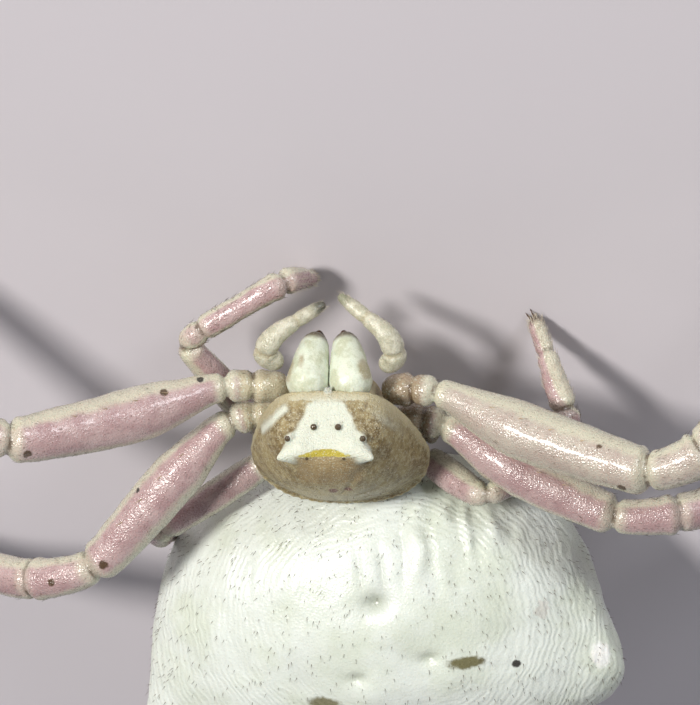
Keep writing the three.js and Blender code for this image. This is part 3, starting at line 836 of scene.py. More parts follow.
def leg_skin(leg_name, side, course):
    """Thin rosy skin, pale along its front and back edges and at its ends, with small marks, painted glints
    on the hips, and hips paler on the left and darker on the right as painted light and shade.
    """
    _, root, _, knee, shank, ankle, foot = course.joints
    material, tree, shader, place, grain, cloud = new_skin(leg_name + " skin", 0.03, 3.0, 4.0)
    tints = (LEG_CREAM_DEEP, LEG_CREAM) if leg_name == CREAM_LEG else (ROSE_DEEP, ROSE)
    colour = mix(tree, ramp(tree, cloud, 0.35, 0.65), *tints)
    waver = scaled(tree, math_node(tree, "SUBTRACT", cloud, 0.5), 0.3)
    front = math_node(tree, "ADD", read_mask(tree, "front"), waver)
    edges = math_node(tree, "MAXIMUM", ramp(tree, front, 0.42, 0.72), ramp(tree, front, -0.75, -0.98))
    colour = paint(tree, colour, edges, 0.85, PALE_GREEN)
    along = read_mask(tree, "along")
    pale_joints = ((root, 0.26, 0.85), (knee, 0.26, 0.6), (shank, 0.2, 0.35), (ankle, 0.2, 0.3))
    for joint, reach, strength in pale_joints:
        colour = paint(tree, colour, near(tree, along, joint, reach, reach * 0.3), strength, PALE_GREEN)
    colour = mix(tree, ramp(tree, along, root - 0.16, root - 0.26), colour, COXA_LIT_AND_SHADED_COLOURS[side])
    # White points on the hips: painted glints.
    hip_glints = scattered(tree, place, 0.06, 0.36)
    hip_glints = math_node(tree, "MULTIPLY", hip_glints, ramp(tree, along, root + 0.05, root - 0.1))
    colour = paint(tree, colour, hip_glints, 0.6, SHIELD_WHITE)
    for neck, _ in leg_necks(course):
        fold = near(tree, along, neck, 0.05, 0.015)
        fold = math_node(tree, "MULTIPLY", fold, ramp(tree, cloud, 0.42, 0.6))
        colour = paint(tree, colour, fold, 0.75, MARK_BROWN)
    colour = mix(tree, ramp(tree, along, foot - 0.22, foot - 0.05), colour, TOE_BROWN)
    colour = paint(tree, colour, scattered(tree, place, 0.075, 0.17), 0.6, MARK_BROWN)
    for centre, radius, mark in LEG_SPOTS.get(leg_name, ()):
        colour = paint(tree, colour, spot(tree, place, centre, radius, 0.03, 0.06), 0.95, mark)
    finish_skin(tree, shader, colour, grain, (0.32, 0.14), (0.25, 0.14, ROSE_GLOW))
    shader.inputs["Specular IOR Level"].default_value = 0.85
    shader.inputs["Coat Weight"].default_value = 0.25
    shader.inputs["Coat Roughness"].default_value = 0.12
    bump(tree, shader, grain["Height"], 0.011)
    return material


courses = {}
radii = {}
for leg_name, (width, points) in LEGS.items():
    course = Course(points, width * LEG_ROUNDING)
    courses[leg_name] = course
    radii[leg_name] = leg_thickness(course, width)
    leg_bm = limb_mesh(course, radii[leg_name], 36, 320, 0.012)
    leg = add_piece(leg_name + "_skin", leg_bm, leg_skin(leg_name, leg_name.split("_")[-1], course))
    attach(leg, "root")
    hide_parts(*[f"{leg_name}_{part}" for part in LEG_NODES])


# Palps: two short feelers beside the mouth, made as the legs are, cream with grey green mottling.
# The left one ends in a dark tip.
PALPS = {
    "left": (
        (0.8, -4.58, 1.78), (1.08, -4.86, 1.84), (0.88, -5.18, 1.75), (0.52, -5.27, 1.5),
        (0.1, -5.36, 1.22)),
    "right": (
        (-0.76, -4.53, 1.78), (-1.02, -4.78, 1.84), (-0.92, -5.2, 1.75), (-0.54, -5.36, 1.5),
        (-0.12, -5.52, 1.2)),
}
PALP_ROUNDING = 0.22
PALP_CUTS = (0.27, 0.68)
PALP_NODES = ("femur", "tibia", "tarsus")
PALP_RADIUS = ((0, 0.14), (0.12, 0.17), (0.3, 0.185), (0.5, 0.155), (0.68, 0.12), (0.85, 0.105), (1, 0.06))
PALP_CREAM = (0.62, 0.60, 0.48)
PALP_GREY = (0.46, 0.445, 0.33)
PALP_TIPS = {"left": (0.045, 0.045, 0.03), "right": (0.20, 0.21, 0.13)}
palp_body = smooth_curve(PALP_RADIUS)


def palp_thickness(course):
    """How thick a palp is along its course, with a shallow neck at each joint."""

    def radius_at(distance):
        share = distance / course.length
        radius = palp_body(share)
        for cut in PALP_CUTS:
            radius *= 1 - 0.12 * hump(share, cut, 0.025) + 0.03 * hump(share, cut - 0.06, 0.03)
        return radius

    return radius_at


for side, _ in SIDES:
    course = Course(PALPS[side], PALP_ROUNDING)
    courses["palp_" + side] = course
    radii["palp_" + side] = palp_thickness(course)
    palp_material, tree, shader, place, grain, cloud = new_skin(f"palp skin {side}", 0.026, 7.0, 3.0)
    along = read_mask(tree, "along")
    colour = mix(tree, ramp(tree, cloud, 0.42, 0.62), PALP_GREY, PALP_CREAM)
    tip = ramp(tree, along, course.length - 0.3, course.length - 0.1)
    colour = paint(tree, colour, tip, 0.9, PALP_TIPS[side])
    for cut in PALP_CUTS:
        joint = near(tree, along, cut * course.length, 0.05, 0.01)
        colour = paint(tree, colour, joint, 0.5, JOINT_AMBER)
    colour = paint(tree, colour, scattered(tree, place, 0.07, 0.2), 0.4, SPOT_ROSE)
    finish_skin(tree, shader, colour, grain, (0.34, 0.18), (0.3, 0.16, WARM_GLOW))
    shader.inputs["Specular IOR Level"].default_value = 0.75
    bump(tree, shader, grain["Height"], 0.01)
    palp_bm = limb_mesh(course, radii["palp_" + side], 40, 140, 0.004)
    palp = add_piece(f"palp_{side}_skin", palp_bm, palp_material)
    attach(palp, "root")
    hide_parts(*[f"palp_{side}_{part}" for part in PALP_NODES])


# Jaws: two hard, swollen, cream white bases that hang from under the brow, side by side.
# Each has a brown rim at its end, and a tan patch on its outer face.
JAWS = {
    "left": ((0.39, -4.52, 2.5), (0.27, -4.86, 1.36)),
    "right": ((-0.37, -4.52, 2.5), (-0.17, -4.86, 1.36)),
}
JAW_RADIUS = ((0, 0.3), (0.25, 0.335), (0.6, 0.28), (0.88, 0.2), (1, 0.14))
JAW_CREAM = (0.68, 0.725, 0.60)
JAW_SHADE = (0.53, 0.56, 0.41)
JAW_TAN = (0.36, 0.29, 0.17)
JAW_GLINT = (0.85, 0.85, 0.74)
JAW_PATCHES = {
    "left": (((0.66, -4.8, 2.1), 0.1, (1.3, 1, 0.55)), ((0.44, -4.98, 2.08), 0.03, (1.4, 1, 0.6))),
    "right": (((-0.57, -4.84, 2.12), 0.12, (1.3, 1, 0.8)),),
}
jaw_body = smooth_curve(JAW_RADIUS)
for side, _ in SIDES:
    course = Course(JAWS[side], 0)
    jaw_material, tree, shader, place, grain, cloud = new_skin(f"jaw {side}", 0.03, 4.0, 3.0)
    colour = mix(tree, ramp(tree, cloud, 0.4, 0.6), JAW_SHADE, JAW_CREAM)
    for centre, radius, squeeze in JAW_PATCHES[side]:
        colour = paint(tree, colour, spot(tree, place, centre, radius, 0.08, 0.08, squeeze), 0.7, JAW_TAN)
    rim = ramp(tree, read_mask(tree, "along"), course.length - 0.24, course.length - 0.1)
    colour = paint(tree, colour, rim, 0.85, MARK_BROWN)
    # Scattered pale points: painted glints.
    colour = paint(tree, colour, scattered(tree, place, 0.045, 0.3), 0.3, JAW_GLINT)
    finish_skin(tree, shader, colour, grain, (0.42, 0.25), (0.3, 0.18, WARM_GLOW))
    bump(tree, shader, grain["Height"], 0.006)
    jaw_bm = limb_mesh(course, lambda at: jaw_body(at / course.length), 72, 90, 0.014)
    jaw = add_piece(f"jaw_{side}", jaw_bm, jaw_material)
    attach(jaw, "root")
    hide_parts(f"chelicera_{side}")


# Fangs: one short, curved, dark brown claw folded under the end of each jaw, glassy and sharp.
# The tarsal claws are the same horn, two at the end of each leg.
FANG_ROOT = Vector((-0.02, 0.05, 0))
FANG_POINT = Vector((-0.13, 0.2, -0.04))
FANG_RADIUS = 0.06
FANG_BOW = Vector((0.05, -0.06, -0.04))
CLAW_LENGTH = 0.14
CLAW_GAP = 0.03
CLAW_RADIUS = 0.022
CLAW_TIP_SHARE = 0.1
CLAW_DARK = (0.03, 0.012, 0.006)
CLAW_BROWN = (0.11, 0.05, 0.02)
claw_material, tree, shader = new_material("claw horn")
grain = use_group(tree, grain_group, Place=place_in_mm(tree), Grain_Size=0.05)
feed(tree, shader.inputs["Base Color"], mix(tree, grain["Cloud"], CLAW_DARK, CLAW_BROWN))
shader.inputs["Roughness"].default_value = 0.22
bump(tree, shader, grain["Height"], 0.003)


def join_into(bm, part):
    """Adds one bmesh to another."""
    mesh = bpy.data.meshes.new("joined")
    part.to_mesh(mesh)
    part.free()
    bm.from_mesh(mesh)
    bpy.data.meshes.remove(mesh)


def curved_claw(root, tip, bow, radius, around):
    """A tapered claw, bowed to one side, from its root to its sharp tip."""
    course = Course((root, root.lerp(tip, 0.5) + bow, tip), (tip - root).length)

    def radius_at(distance):
        return lerp(radius, radius * CLAW_TIP_SHARE, (distance / course.length) ** 1.3)

    return limb_mesh(course, radius_at, around, 40, 0)


for side, hand in SIDES:
    jaw_tip = Vector(JAWS[side][1])
    fang_root = jaw_tip + on_side(FANG_ROOT, hand)
    fang_point = jaw_tip + on_side(FANG_POINT, hand)
    fang_bm = curved_claw(fang_root, fang_point, on_side(FANG_BOW, hand), FANG_RADIUS, 24)
    fang = add_piece(f"fang_{side}_claw", fang_bm, claw_material)
    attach(fang, "root")
    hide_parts(f"fang_{side}")
claw_bm = bmesh.new()
for leg_name in LEGS:
    foot, along, _, _ = courses[leg_name].at(courses[leg_name].length - 0.03)
    onward = Vector((along.x, along.y, 0)).normalized()
    aside = Vector((-onward.y, onward.x, 0))
    for hand in (-1, 1):
        root = foot + aside * CLAW_GAP * hand
        tip = root + onward * CLAW_LENGTH + aside * CLAW_GAP * hand
        tip.z = CLAW_RADIUS * CLAW_TIP_SHARE
        join_into(claw_bm, curved_claw(root, tip, Vector((0, 0, CLAW_GAP)), CLAW_RADIUS, 12))
claws = add_piece("tarsal_claws", claw_bm, claw_material)
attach(claws, "root")


# Chest plate: a pale, thin, hard shield under the body, notched at the root of each leg.
# The lip and the two mouth lobes are set in front of it, all in one stiff piece.
STERNUM_HALF = Vector((0.78, 0.98))
STERNUM_MID_Y = -3.32
STERNUM_BOTTOM_Z = 1.42
STERNUM_TOP_Z = 2.04
MOUTH_LOBES = (
    (Vector((0.3, -4.22, 1.62)), Vector((0.22, 0.27, 0.24))),
    (Vector((-0.3, -4.22, 1.62)), Vector((0.22, 0.27, 0.24))),
    (Vector((0, -4.1, 1.56)), Vector((0.13, 0.2, 0.12))),
)
NOTCH_COUNT = 8
NOTCH_DEPTH = 0.03
CHEST_CREAM = (0.55, 0.48, 0.31)
under_material, tree, shader, place, grain, cloud = new_skin("underside skin", 0.035, 3.0, 3.0, 0.5)
colour = mix(tree, ramp(tree, cloud, 0.4, 0.6), JOINT_AMBER, CHEST_CREAM)
colour = paint(tree, colour, scattered(tree, place, 0.09, 0.2), 0.5, MARK_BROWN)
finish_skin(tree, shader, colour, grain, (0.5, 0.32), (0.3, 0.18, WARM_GLOW))
bump(tree, shader, grain["Height"], 0.007)
sternum_bm = bmesh.new()
plate = bmesh.ops.create_uvsphere(sternum_bm, u_segments=96, v_segments=48, radius=1)["verts"]
for vert in plate:
    around = math.hypot(vert.co.x, vert.co.y)
    spread = min(1, around * 1.25) / around if around > 0 else 0
    height = lerp(STERNUM_BOTTOM_Z, STERNUM_TOP_Z, (signed_power(vert.co.z, 0.8) + 1) / 2)
    turn = math.atan2(vert.co.y, vert.co.x)
    notch = NOTCH_DEPTH * math.cos(NOTCH_COUNT * turn) * smoothstep(0.6, 1, around)
    vert.co = Vector((
        vert.co.x * spread * (STERNUM_HALF.x - NOTCH_DEPTH + notch),
        STERNUM_MID_Y + vert.co.y * spread * (STERNUM_HALF.y - NOTCH_DEPTH + notch),
        height,
    ))
for centre, half in MOUTH_LOBES:
    lobe = bmesh.ops.create_uvsphere(sternum_bm, u_segments=40, v_segments=24, radius=1)["verts"]
    bmesh.ops.scale(sternum_bm, vec=half, verts=lobe)
    bmesh.ops.translate(sternum_bm, vec=centre, verts=lobe)
sternum = add_piece("chest_plate", sternum_bm, under_material)
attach(sternum, "root")
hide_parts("sternum")


# Waist: a short soft stalk between chest and abdomen, of thin skin ringed with fine folds.
# Both of its ends are sunk in the bodies that it joins.
PEDICEL = ((0, -2.22, 1.75), (0, -1.98, 1.78))
PEDICEL_RADIUS = 0.2
WAIST_FOLD = 0.06
WAIST_FOLD_PITCH = 90


def waist_radius(distance):
    return PEDICEL_RADIUS * (1 - WAIST_FOLD + WAIST_FOLD * math.sin(distance * WAIST_FOLD_PITCH))


waist = add_piece("waist", limb_mesh(Course(PEDICEL, 0), waist_radius, 40, 50, 0), under_material)
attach(waist, "root")
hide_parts("pedicel")


# Abdomen: a soft, full, satin white bag, widest at its two hind corners, that rests on the floor.
# Fine folds ring its back, upright pleats cross its front, and muscle pits dimple the middle.
ABDOMEN_START = Vector((0.14, -1.95))
ABDOMEN_TURN = math.radians(9)
ABDOMEN_LENGTH = 5.5
ABDOMEN_WIDTH = (
    (0, 0), (0.12, 1.15), (0.35, 1.9), (0.7, 2.6), (1.2, 3.1), (1.8, 3.42), (2.5, 3.58), (3.3, 3.52),
    (3.9, 3.3), (4.4, 2.8), (4.9, 2.05), (5.3, 1.15), (5.5, 0))
ABDOMEN_TOP = (
    (0, 1.85), (0.15, 2.4), (0.5, 3.0), (1.0, 3.45), (1.8, 3.88), (2.7, 4.1), (3.5, 4.08), (4.1, 3.75),
    (4.6, 3.1), (5.1, 2.2), (5.4, 1.6), (5.5, 1.3))
ABDOMEN_BOTTOM = (
    (0, 1.75), (0.15, 1.2), (0.8, 0.4), (1.5, -0.03), (4.0, -0.03), (4.8, 0.35), (5.3, 0.8), (5.5, 1.25))
ABDOMEN_WIDEST = (
    (0, 1.8), (0.8, 1.75), (2.0, 2.2), (3.3, 3.0), (3.9, 3.0), (4.6, 2.2), (5.5, 1.28))
BACK_ROUNDNESS = 0.92
BELLY_ROUNDNESS = 0.85
SHOULDER_AT = 3.5
SHOULDER_BULGE = 0.42
SHOULDER_SPREAD = 0.8
SHOULDER_TILT = 0.12
SHOULDER_TILT_SPREAD = 0.38
PITS = (
    (-0.46, 1.05, 0.14, 0.16), (0.07, 2.15, 0.11, 0.08), (-1.12, 2.0, 0.11, 0.09),
    (0.0, 3.1, 0.1, 0.06), (-0.95, 3.05, 0.1, 0.06),
)
SWELLS = (
    (-0.72, 1.42, 0.3, 0.05), (-0.16, 2.45, 0.25, 0.05), (-1.35, 2.35, 0.25, 0.04), (-0.46, 0.3, 0.4, 0.04))
FURROWS = (((-0.27, 0.62), 0.05, 0.05), ((-0.62, 0.68), 0.055, 0.06), ((-0.97, 0.55), 0.06, 0.03))
FURROW_LENGTH = 0.22
PLEATS = (
    (-1.20, 0.055, 0.10), (-1.62, 0.065, 0.09), (-2.0, 0.045, 0.08), (-2.34, 0.05, 0.09),
    (-2.8, 0.035, 0.1), (0.75, 0.012, 0.14), (1.35, 0.012, 0.14), (1.9, 0.01, 0.14))
PLEAT_GAP = 0.21
PLEAT_LOW_Z = (1.6, 2.3)
PLEAT_END = (0.55, 1.35)
FOLD_CENTRE = Vector((-0.6, 1.5))
FOLD_SPACING = 0.17
FOLD_HEIGHT = 0.0045
FOLD_START = (0.9, 1.9)
FOLD_LOW_Z = (0.6, 1.6)
BACK_FACING = (0.05, 0.45)
SKIN_SWELLS = ((1.4, 0.03), (4.5, 0.010))
BELLY_PLAIN_Z = (0, 0.35)
HOLLOW_DEPTH = 0.16


def arc_share(along):
    """The share of a half turn that brings the round end of a ball to this length."""
    return math.acos(clamp(1 - 2 * along / ABDOMEN_LENGTH, -1, 1)) / math.pi


def over_arc(pairs):
    return smooth_curve([(arc_share(along), value) for along, value in pairs])


abdomen_width = over_arc(ABDOMEN_WIDTH)
abdomen_top = over_arc(ABDOMEN_TOP)
abdomen_bottom = over_arc(ABDOMEN_BOTTOM)
abdomen_widest = over_arc(ABDOMEN_WIDEST)
TURN_SIN = math.sin(ABDOMEN_TURN)
TURN_COS = math.cos(ABDOMEN_TURN)


def from_abdomen(x, along, z):
    return Vector((
        ABDOMEN_START.x + x * TURN_COS - along * TURN_SIN,
        ABDOMEN_START.y + x * TURN_SIN + along * TURN_COS,
        z,
    ))


def to_abdomen(point):
    """Place across and along the abdomen's own axis."""
    x = point.x - ABDOMEN_START.x
    y = point.y - ABDOMEN_START.y
    return Vector((x * TURN_COS + y * TURN_SIN, y * TURN_COS - x * TURN_SIN))


def abdomen_point(share, turn):
    along = ABDOMEN_LENGTH * (1 - math.cos(math.pi * share)) / 2
    width = abdomen_width(share)
    widest = abdomen_widest(share)
    across = math.cos(turn)
    up = math.sin(turn)
    reach = (along - SHOULDER_AT) / SHOULDER_SPREAD
    tilt = (math.atan2(up, abs(across)) - SHOULDER_TILT) / SHOULDER_TILT_SPREAD
    bulge = SHOULDER_BULGE * min(1, width) * math.exp(-(reach * reach + tilt * tilt) * 1.1)
    if up > 0:
        z = widest + (abdomen_top(share) - widest) * signed_power(up, BACK_ROUNDNESS)
    else:
        z = widest + (widest - abdomen_bottom(share)) * signed_power(up, BELLY_ROUNDNESS)
    return from_abdomen(across * width + math.copysign(bulge, across), along, max(z, 0))


def abdomen_relief(point, facing):
    """How far the skin stands out of the plain bag at a point, in folds, pleats and pits."""
    here = to_abdomen(point)
    relief = 0.0
    for x, along, radius, depth in PITS:
        away = math.hypot((here.x - x) * 0.75, (here.y - along) * 1.2)
        relief -= depth * math.exp(-(away / radius) ** 1.6)
    for x, along, radius, height in SWELLS:
        relief += height * hump(here.x, x, radius) * hump(here.y, along, radius)
    for (x, along), width, depth in FURROWS:
        relief -= depth * hump(here.x, x, width) * hump(here.y, along, FURROW_LENGTH)
    relief *= smoothstep(*BACK_FACING, facing)
    front_face = smoothstep(*PLEAT_LOW_Z, point.z) * (1 - smoothstep(*PLEAT_END, here.y))
    front_face *= 0.7 + noise.noise(point * 2.3)
    for x, height, width in PLEATS:
        crest = x + 0.14 * noise.noise(point * 1.7 + Vector((x, 2, 0)))
        valley = 0.5 * hump(here.x, crest + PLEAT_GAP, 0.08)
        relief += height * (hump(here.x, crest, width) - valley) * front_face
    ring = (here - FOLD_CENTRE).length + 0.16 * noise.noise(point * 1.1) + 0.0875 * (4 - point.z)
    strength = max(0, 0.35 + 1.1 * noise.noise(point * 1.1 + Vector((7, 1, 3))))
    fold = FOLD_HEIGHT * strength * math.sin(ring / FOLD_SPACING * 2 * math.pi)
    relief += fold * smoothstep(*FOLD_START, ring) * smoothstep(*FOLD_LOW_Z, point.z)
    for pitch, height in SKIN_SWELLS:
        relief += height * noise.noise(point * pitch)
    return relief * smoothstep(*BELLY_PLAIN_Z, point.z)


abdomen_bm = bmesh.new()
bmesh.ops.create_uvsphere(abdomen_bm, u_segments=380, v_segments=250, radius=1)
unwrapped = []
for vert in abdomen_bm.verts:
    share = math.acos(clamp(vert.co.z, -1, 1)) / math.pi
    turn = math.atan2(vert.co.y, vert.co.x)
    vert.co = abdomen_point(share, turn)
    unwrapped.append((turn / (2 * math.pi) + 0.5, share))
abdomen_bm.normal_update()
# How deep each point lies in a pit, furrow or fold, for the grey painted shade there.
pit_shade = abdomen_bm.verts.layers.float.new("pit_shade")
abdomen_places = []
for vert, patch in zip(abdomen_bm.verts, unwrapped):
    relief = abdomen_relief(vert.co, vert.normal.z)
    vert[pit_shade] = clamp(-relief / HOLLOW_DEPTH)
    abdomen_places.append((vert.co + vert.normal * relief, vert.normal.copy(), patch))
for vert, (moved, _, _) in zip(abdomen_bm.verts, abdomen_places):
    vert.co = moved
    vert.co.z = max(vert.co.z, 0)

SATIN_WHITE = (0.72, 0.76, 0.71)
SATIN_GREEN = (0.64, 0.685, 0.59)
PIT_SHADE_GREY = (0.27, 0.29, 0.20)
MARK_OLIVE = (0.12, 0.10, 0.018)
BELLY_CREAM = (0.60, 0.58, 0.46)
HIGHLIGHT_WHITE = (0.93, 0.93, 0.9)
SCAR_GREY = (0.62, 0.60, 0.55)
HAIR_ROOT_BROWN = (0.1, 0.08, 0.06)
SATIN_GLOW = (1, 0.9, 0.8)
FINE_FOLD_SPACING = 0.105
ABDOMEN_SPOTS = (
    ((-1.84, -0.04, 3.79), 0.12, 0.1, 0.12, (0.55, 1.7, 1), MARK_OLIVE, 0.9),
    ((0.41, 0.66, 4.03), 0.11, 0.1, 0.1, (0.6, 1.5, 1), MARK_OLIVE, 0.85),
    ((-2.62, 0.13, 3.67), 0.06, 0.03, 0.05, (1, 1, 1), MARK_BLACK, 0.95),
    # A pale patch on the right hind hump: a painted highlight.
    ((-3.88, 0.43, 3.21), 0.13, 0.08, 0.1, (1, 0.7, 1), HIGHLIGHT_WHITE, 0.9),
    ((-3.05, -0.55, 3.2), 0.1, 0.05, 0.2, (1, 1, 0.6), SCAR_GREY, 0.7),
)
abdomen_material, tree, shader, place, grain, cloud = new_skin("abdomen satin", 0.04, 0.9, 4.0, 0.55)
colour = mix(tree, ramp(tree, cloud, 0.4, 0.68), SATIN_WHITE, SATIN_GREEN)
height = add_node(tree, "ShaderNodeSeparateXYZ", Vector=place).outputs["Z"]
colour = paint(tree, colour, ramp(tree, height, 1.5, 0.4), 0.6, BELLY_CREAM)
# Grey painted shade in the pits, furrows and folds, stronger where they are deeper.
colour = paint(tree, colour, read_mask(tree, "pit_shade"), 0.6, PIT_SHADE_GREY)
for centre, radius, softness, raggedness, squeeze, mark, strength in ABDOMEN_SPOTS:
    mask = spot(tree, place, centre, radius, softness, raggedness, squeeze)
    colour = paint(tree, colour, mask, strength, mark)
colour = paint(tree, colour, scattered(tree, place, 0.15, 0.12), 0.35, HAIR_ROOT_BROWN)
finish_skin(tree, shader, colour, grain, (0.42, 0.24), (0.3, 0.25, SATIN_GLOW))
shader.inputs["Specular IOR Level"].default_value = 0.55
from_middle = add_node(tree, "ShaderNodeVectorMath", {"operation": "DISTANCE"})
feed(tree, from_middle.inputs[0], place)
feed(tree, from_middle.inputs[1], tuple(from_abdomen(FOLD_CENTRE.x, FOLD_CENTRE.y, 3.7)))
warp = add_node(tree, "ShaderNodeTexNoise", Vector=place, Scale=1.6, Detail=2.0)
rings = math_node(tree, "ADD", from_middle.outputs["Value"], scaled(tree, warp.outputs["Fac"], 0.45))
wave = math_node(tree, "SINE", scaled(tree, rings, 2 * math.pi / FINE_FOLD_SPACING))
fold_depth = ramp(tree, from_middle.outputs["Value"], 1.0, 2.2, 0.03, 0.2)
fine_folds = math_node(tree, "MULTIPLY", wave, fold_depth)
bump(tree, shader, math_node(tree, "ADD", fine_folds, scaled(tree, grain["Height"], 0.45)), 0.014)
abdomen = add_piece("abdomen_skin", abdomen_bm, abdomen_material)
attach(abdomen, "root")
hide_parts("abdomen")


# Spinnerets: a cluster of six short blunt cones behind the abdomen, of soft skin.
# They stand on a low round base that is sunk in the abdomen's rear end.
SPINNERET_GAP = 0.06
SPINNERET_Z = 1.28
SPINNERET_LEAN = Vector((-0.06, 0.36, -0.14))
SPINNERET_BASE = 0.23
SPINNERET_RADIUS = 0.085
SPINNERET_FINGERS = (
    (0.09, 0.08, 1), (-0.09, 0.08, 1), (0.1, -0.09, 1.1), (-0.1, -0.09, 1.1), (0, 0, 0.7), (0, 0.16, 0.7))
spinneret_root = from_abdomen(0, ABDOMEN_LENGTH + SPINNERET_GAP, SPINNERET_Z)
spinneret_bm = bmesh.new()
base = bmesh.ops.create_uvsphere(
    spinneret_bm, u_segments=48, v_segments=24, radius=SPINNERET_BASE)["verts"]
bmesh.ops.scale(spinneret_bm, vec=(1, 0.75, 1), verts=base)
bmesh.ops.translate(spinneret_bm, vec=spinneret_root + SPINNERET_LEAN * 0.2, verts=base)
for across, up, size in SPINNERET_FINGERS:
    start = spinneret_root + Vector((across, 0.05, up))
    tip = start + SPINNERET_LEAN * 0.9 * size - Vector((across * 0.35, 0, up * 0.35))
    course = Course((start, tip), 0)
    finger = limb_mesh(course, lambda at: SPINNERET_RADIUS * (1 - 0.4 * at / course.length), 20, 24, 0)
    join_into(spinneret_bm, finger)
spinnerets = add_piece("spinneret_cluster", spinneret_bm, under_material)
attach(spinnerets, "root")
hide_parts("spinnerets")


# Hairs: short, stiff, tapered bristles rooted in the skin and leaning toward the limb ends.
# Each is a thin three-sided cone, dark on the body and the long joints, pale on feet and palps.
PATCH = 0.003
HAIR_SEED = 41
HAIR_SIDES = 3
HAIR_TIP_SHARE = 0.15
HAIR_CUTS = 2
LOWEST_HAIR_Z = 0.002
ABDOMEN_HAIR_PLACES = 5200
ABDOMEN_HAIR_SHARE = 0.55
ABDOMEN_HAIR_LOW_Z = 0.25
ABDOMEN_HAIR_LENGTH = (0.05, 0.085)
ABDOMEN_HAIR_RADIUS = 0.0055
LIMB_HAIR_SINK = 0.006
SHORT_LEG_SHARE = 0.55


def hair_template():
    """Corners and faces of one hair, from a cone of unit length and radius."""
    bm = bmesh.new()
    bmesh.ops.create_cone(
        bm, cap_ends=True, segments=HAIR_SIDES, radius1=1, radius2=HAIR_TIP_SHARE, depth=1)
    uprights = [edge for edge in bm.edges if abs(edge.verts[0].co.z - edge.verts[1].co.z) > 0.5]
    bmesh.ops.subdivide_edges(bm, edges=uprights, cuts=HAIR_CUTS)
    bmesh.ops.translate(bm, vec=(0, 0, 0.5), verts=bm.verts)
    bm.verts.index_update()
    corners = np.array([vert.co for vert in bm.verts])
    faces = [[vert.index for vert in face.verts] for face in bm.faces]
    bm.free()
    return corners, faces


hair_corners, hair_faces = hair_template()


def add_hairs(name, hairs, material):
    """One mesh of many hairs, each given as (root, direction, droop, length, radius, patch centre)."""
    count = len(hair_corners)
    corners, faces, patches = [], [], []
    for root, direction, droop, length, radius, patch in hairs:
        axis = direction.normalized()
        side = axis.orthogonal().normalized()
        lift = axis.cross(side)
        share = hair_corners[:, 2:3]
        placed = np.array(root) + share * length * np.array(axis) + share ** 2 * length * np.array(droop)
        placed += hair_corners[:, 0:1] * radius * np.array(side)
        placed += hair_corners[:, 1:2] * radius * np.array(lift)
        placed[:, 2] = np.maximum(placed[:, 2], LOWEST_HAIR_Z)
        first = len(corners) * count
        corners.append(placed)
        faces += [[index + first for index in face] for face in hair_faces]
        local = np.stack([hair_corners[:, 0] * 0.5, hair_corners[:, 2] - 0.5], axis=1) * PATCH
        patches.append(local + np.array(patch))
    mesh = bpy.data.meshes.new(name)
    mesh.from_pydata((np.concatenate(corners) * MM).tolist(), [], faces)
    unwrap = mesh.uv_layers.new(name="OFBake")
    loop_corners = np.empty(len(mesh.loops), dtype=np.int32)
    mesh.loops.foreach_get("vertex_index", loop_corners)
    unwrap.data.foreach_set("uv", np.concatenate(patches)[loop_corners].astype(np.float32).ravel())
    mesh.materials.append(material)
    piece = bpy.data.objects.new(name, mesh)
    bpy.context.scene.collection.objects.link(piece)
    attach(piece, "root")


def hair_material(name, root_colour, tip_colour, roughness):
    """Horn that wanders between two colours."""
    material, tree, shader = new_material(name)
    tone = add_node(tree, "ShaderNodeTexNoise", Vector=place_in_mm(tree), Scale=6.0)
    feed(tree, shader.inputs["Base Color"], mix(tree, tone.outputs["Fac"], root_colour, tip_colour))
    shader.inputs["Roughness"].default_value = roughness
    return material


dark_hair = hair_material("dark hair", (0.05, 0.035, 0.02), (0.16, 0.11, 0.07), 0.4)
pale_hair = hair_material("pale hair", (0.45, 0.38, 0.28), (0.75, 0.70, 0.6), 0.35)
draw = random.Random(HAIR_SEED)

abdomen_hairs = []
for root, normal, patch in draw.sample(abdomen_places, ABDOMEN_HAIR_PLACES):
    if root.z < ABDOMEN_HAIR_LOW_Z or draw.random() > ABDOMEN_HAIR_SHARE:
        continue
    lie = Vector((draw.uniform(-0.4, 0.4), 1, draw.uniform(-0.4, 0.4)))
    lie = (lie - normal * lie.dot(normal)).normalized()
    direction = lie * 0.75 + normal * 0.65
    length = draw.uniform(*ABDOMEN_HAIR_LENGTH)
    abdomen_hairs.append((root - normal * 0.005, direction, lie * 0.3, length, ABDOMEN_HAIR_RADIUS, patch))
add_hairs("hairs_abdomen", abdomen_hairs, dark_hair)


def limb_hairs(limb, strip, start, end, count, length, radius, lean):
    """Hairs scattered over a limb between two distances, leaning toward its end."""
    course = courses[limb]
    hairs = []
    for _ in range(count):
        distance = draw.uniform(start, end)
        turn = draw.uniform(0, 2 * math.pi)
        point, outward, along = tube_point(distance, turn, course, radii[limb])
        root = point - outward * LIMB_HAIR_SINK
        direction = outward * (1 - lean) + along * lean
        patch = (strip + 0.1 * turn / (2 * math.pi), distance / course.length)
        hairs.append((root, direction, along * 0.25, length * draw.uniform(0.7, 1.3), radius, patch))
    return hairs


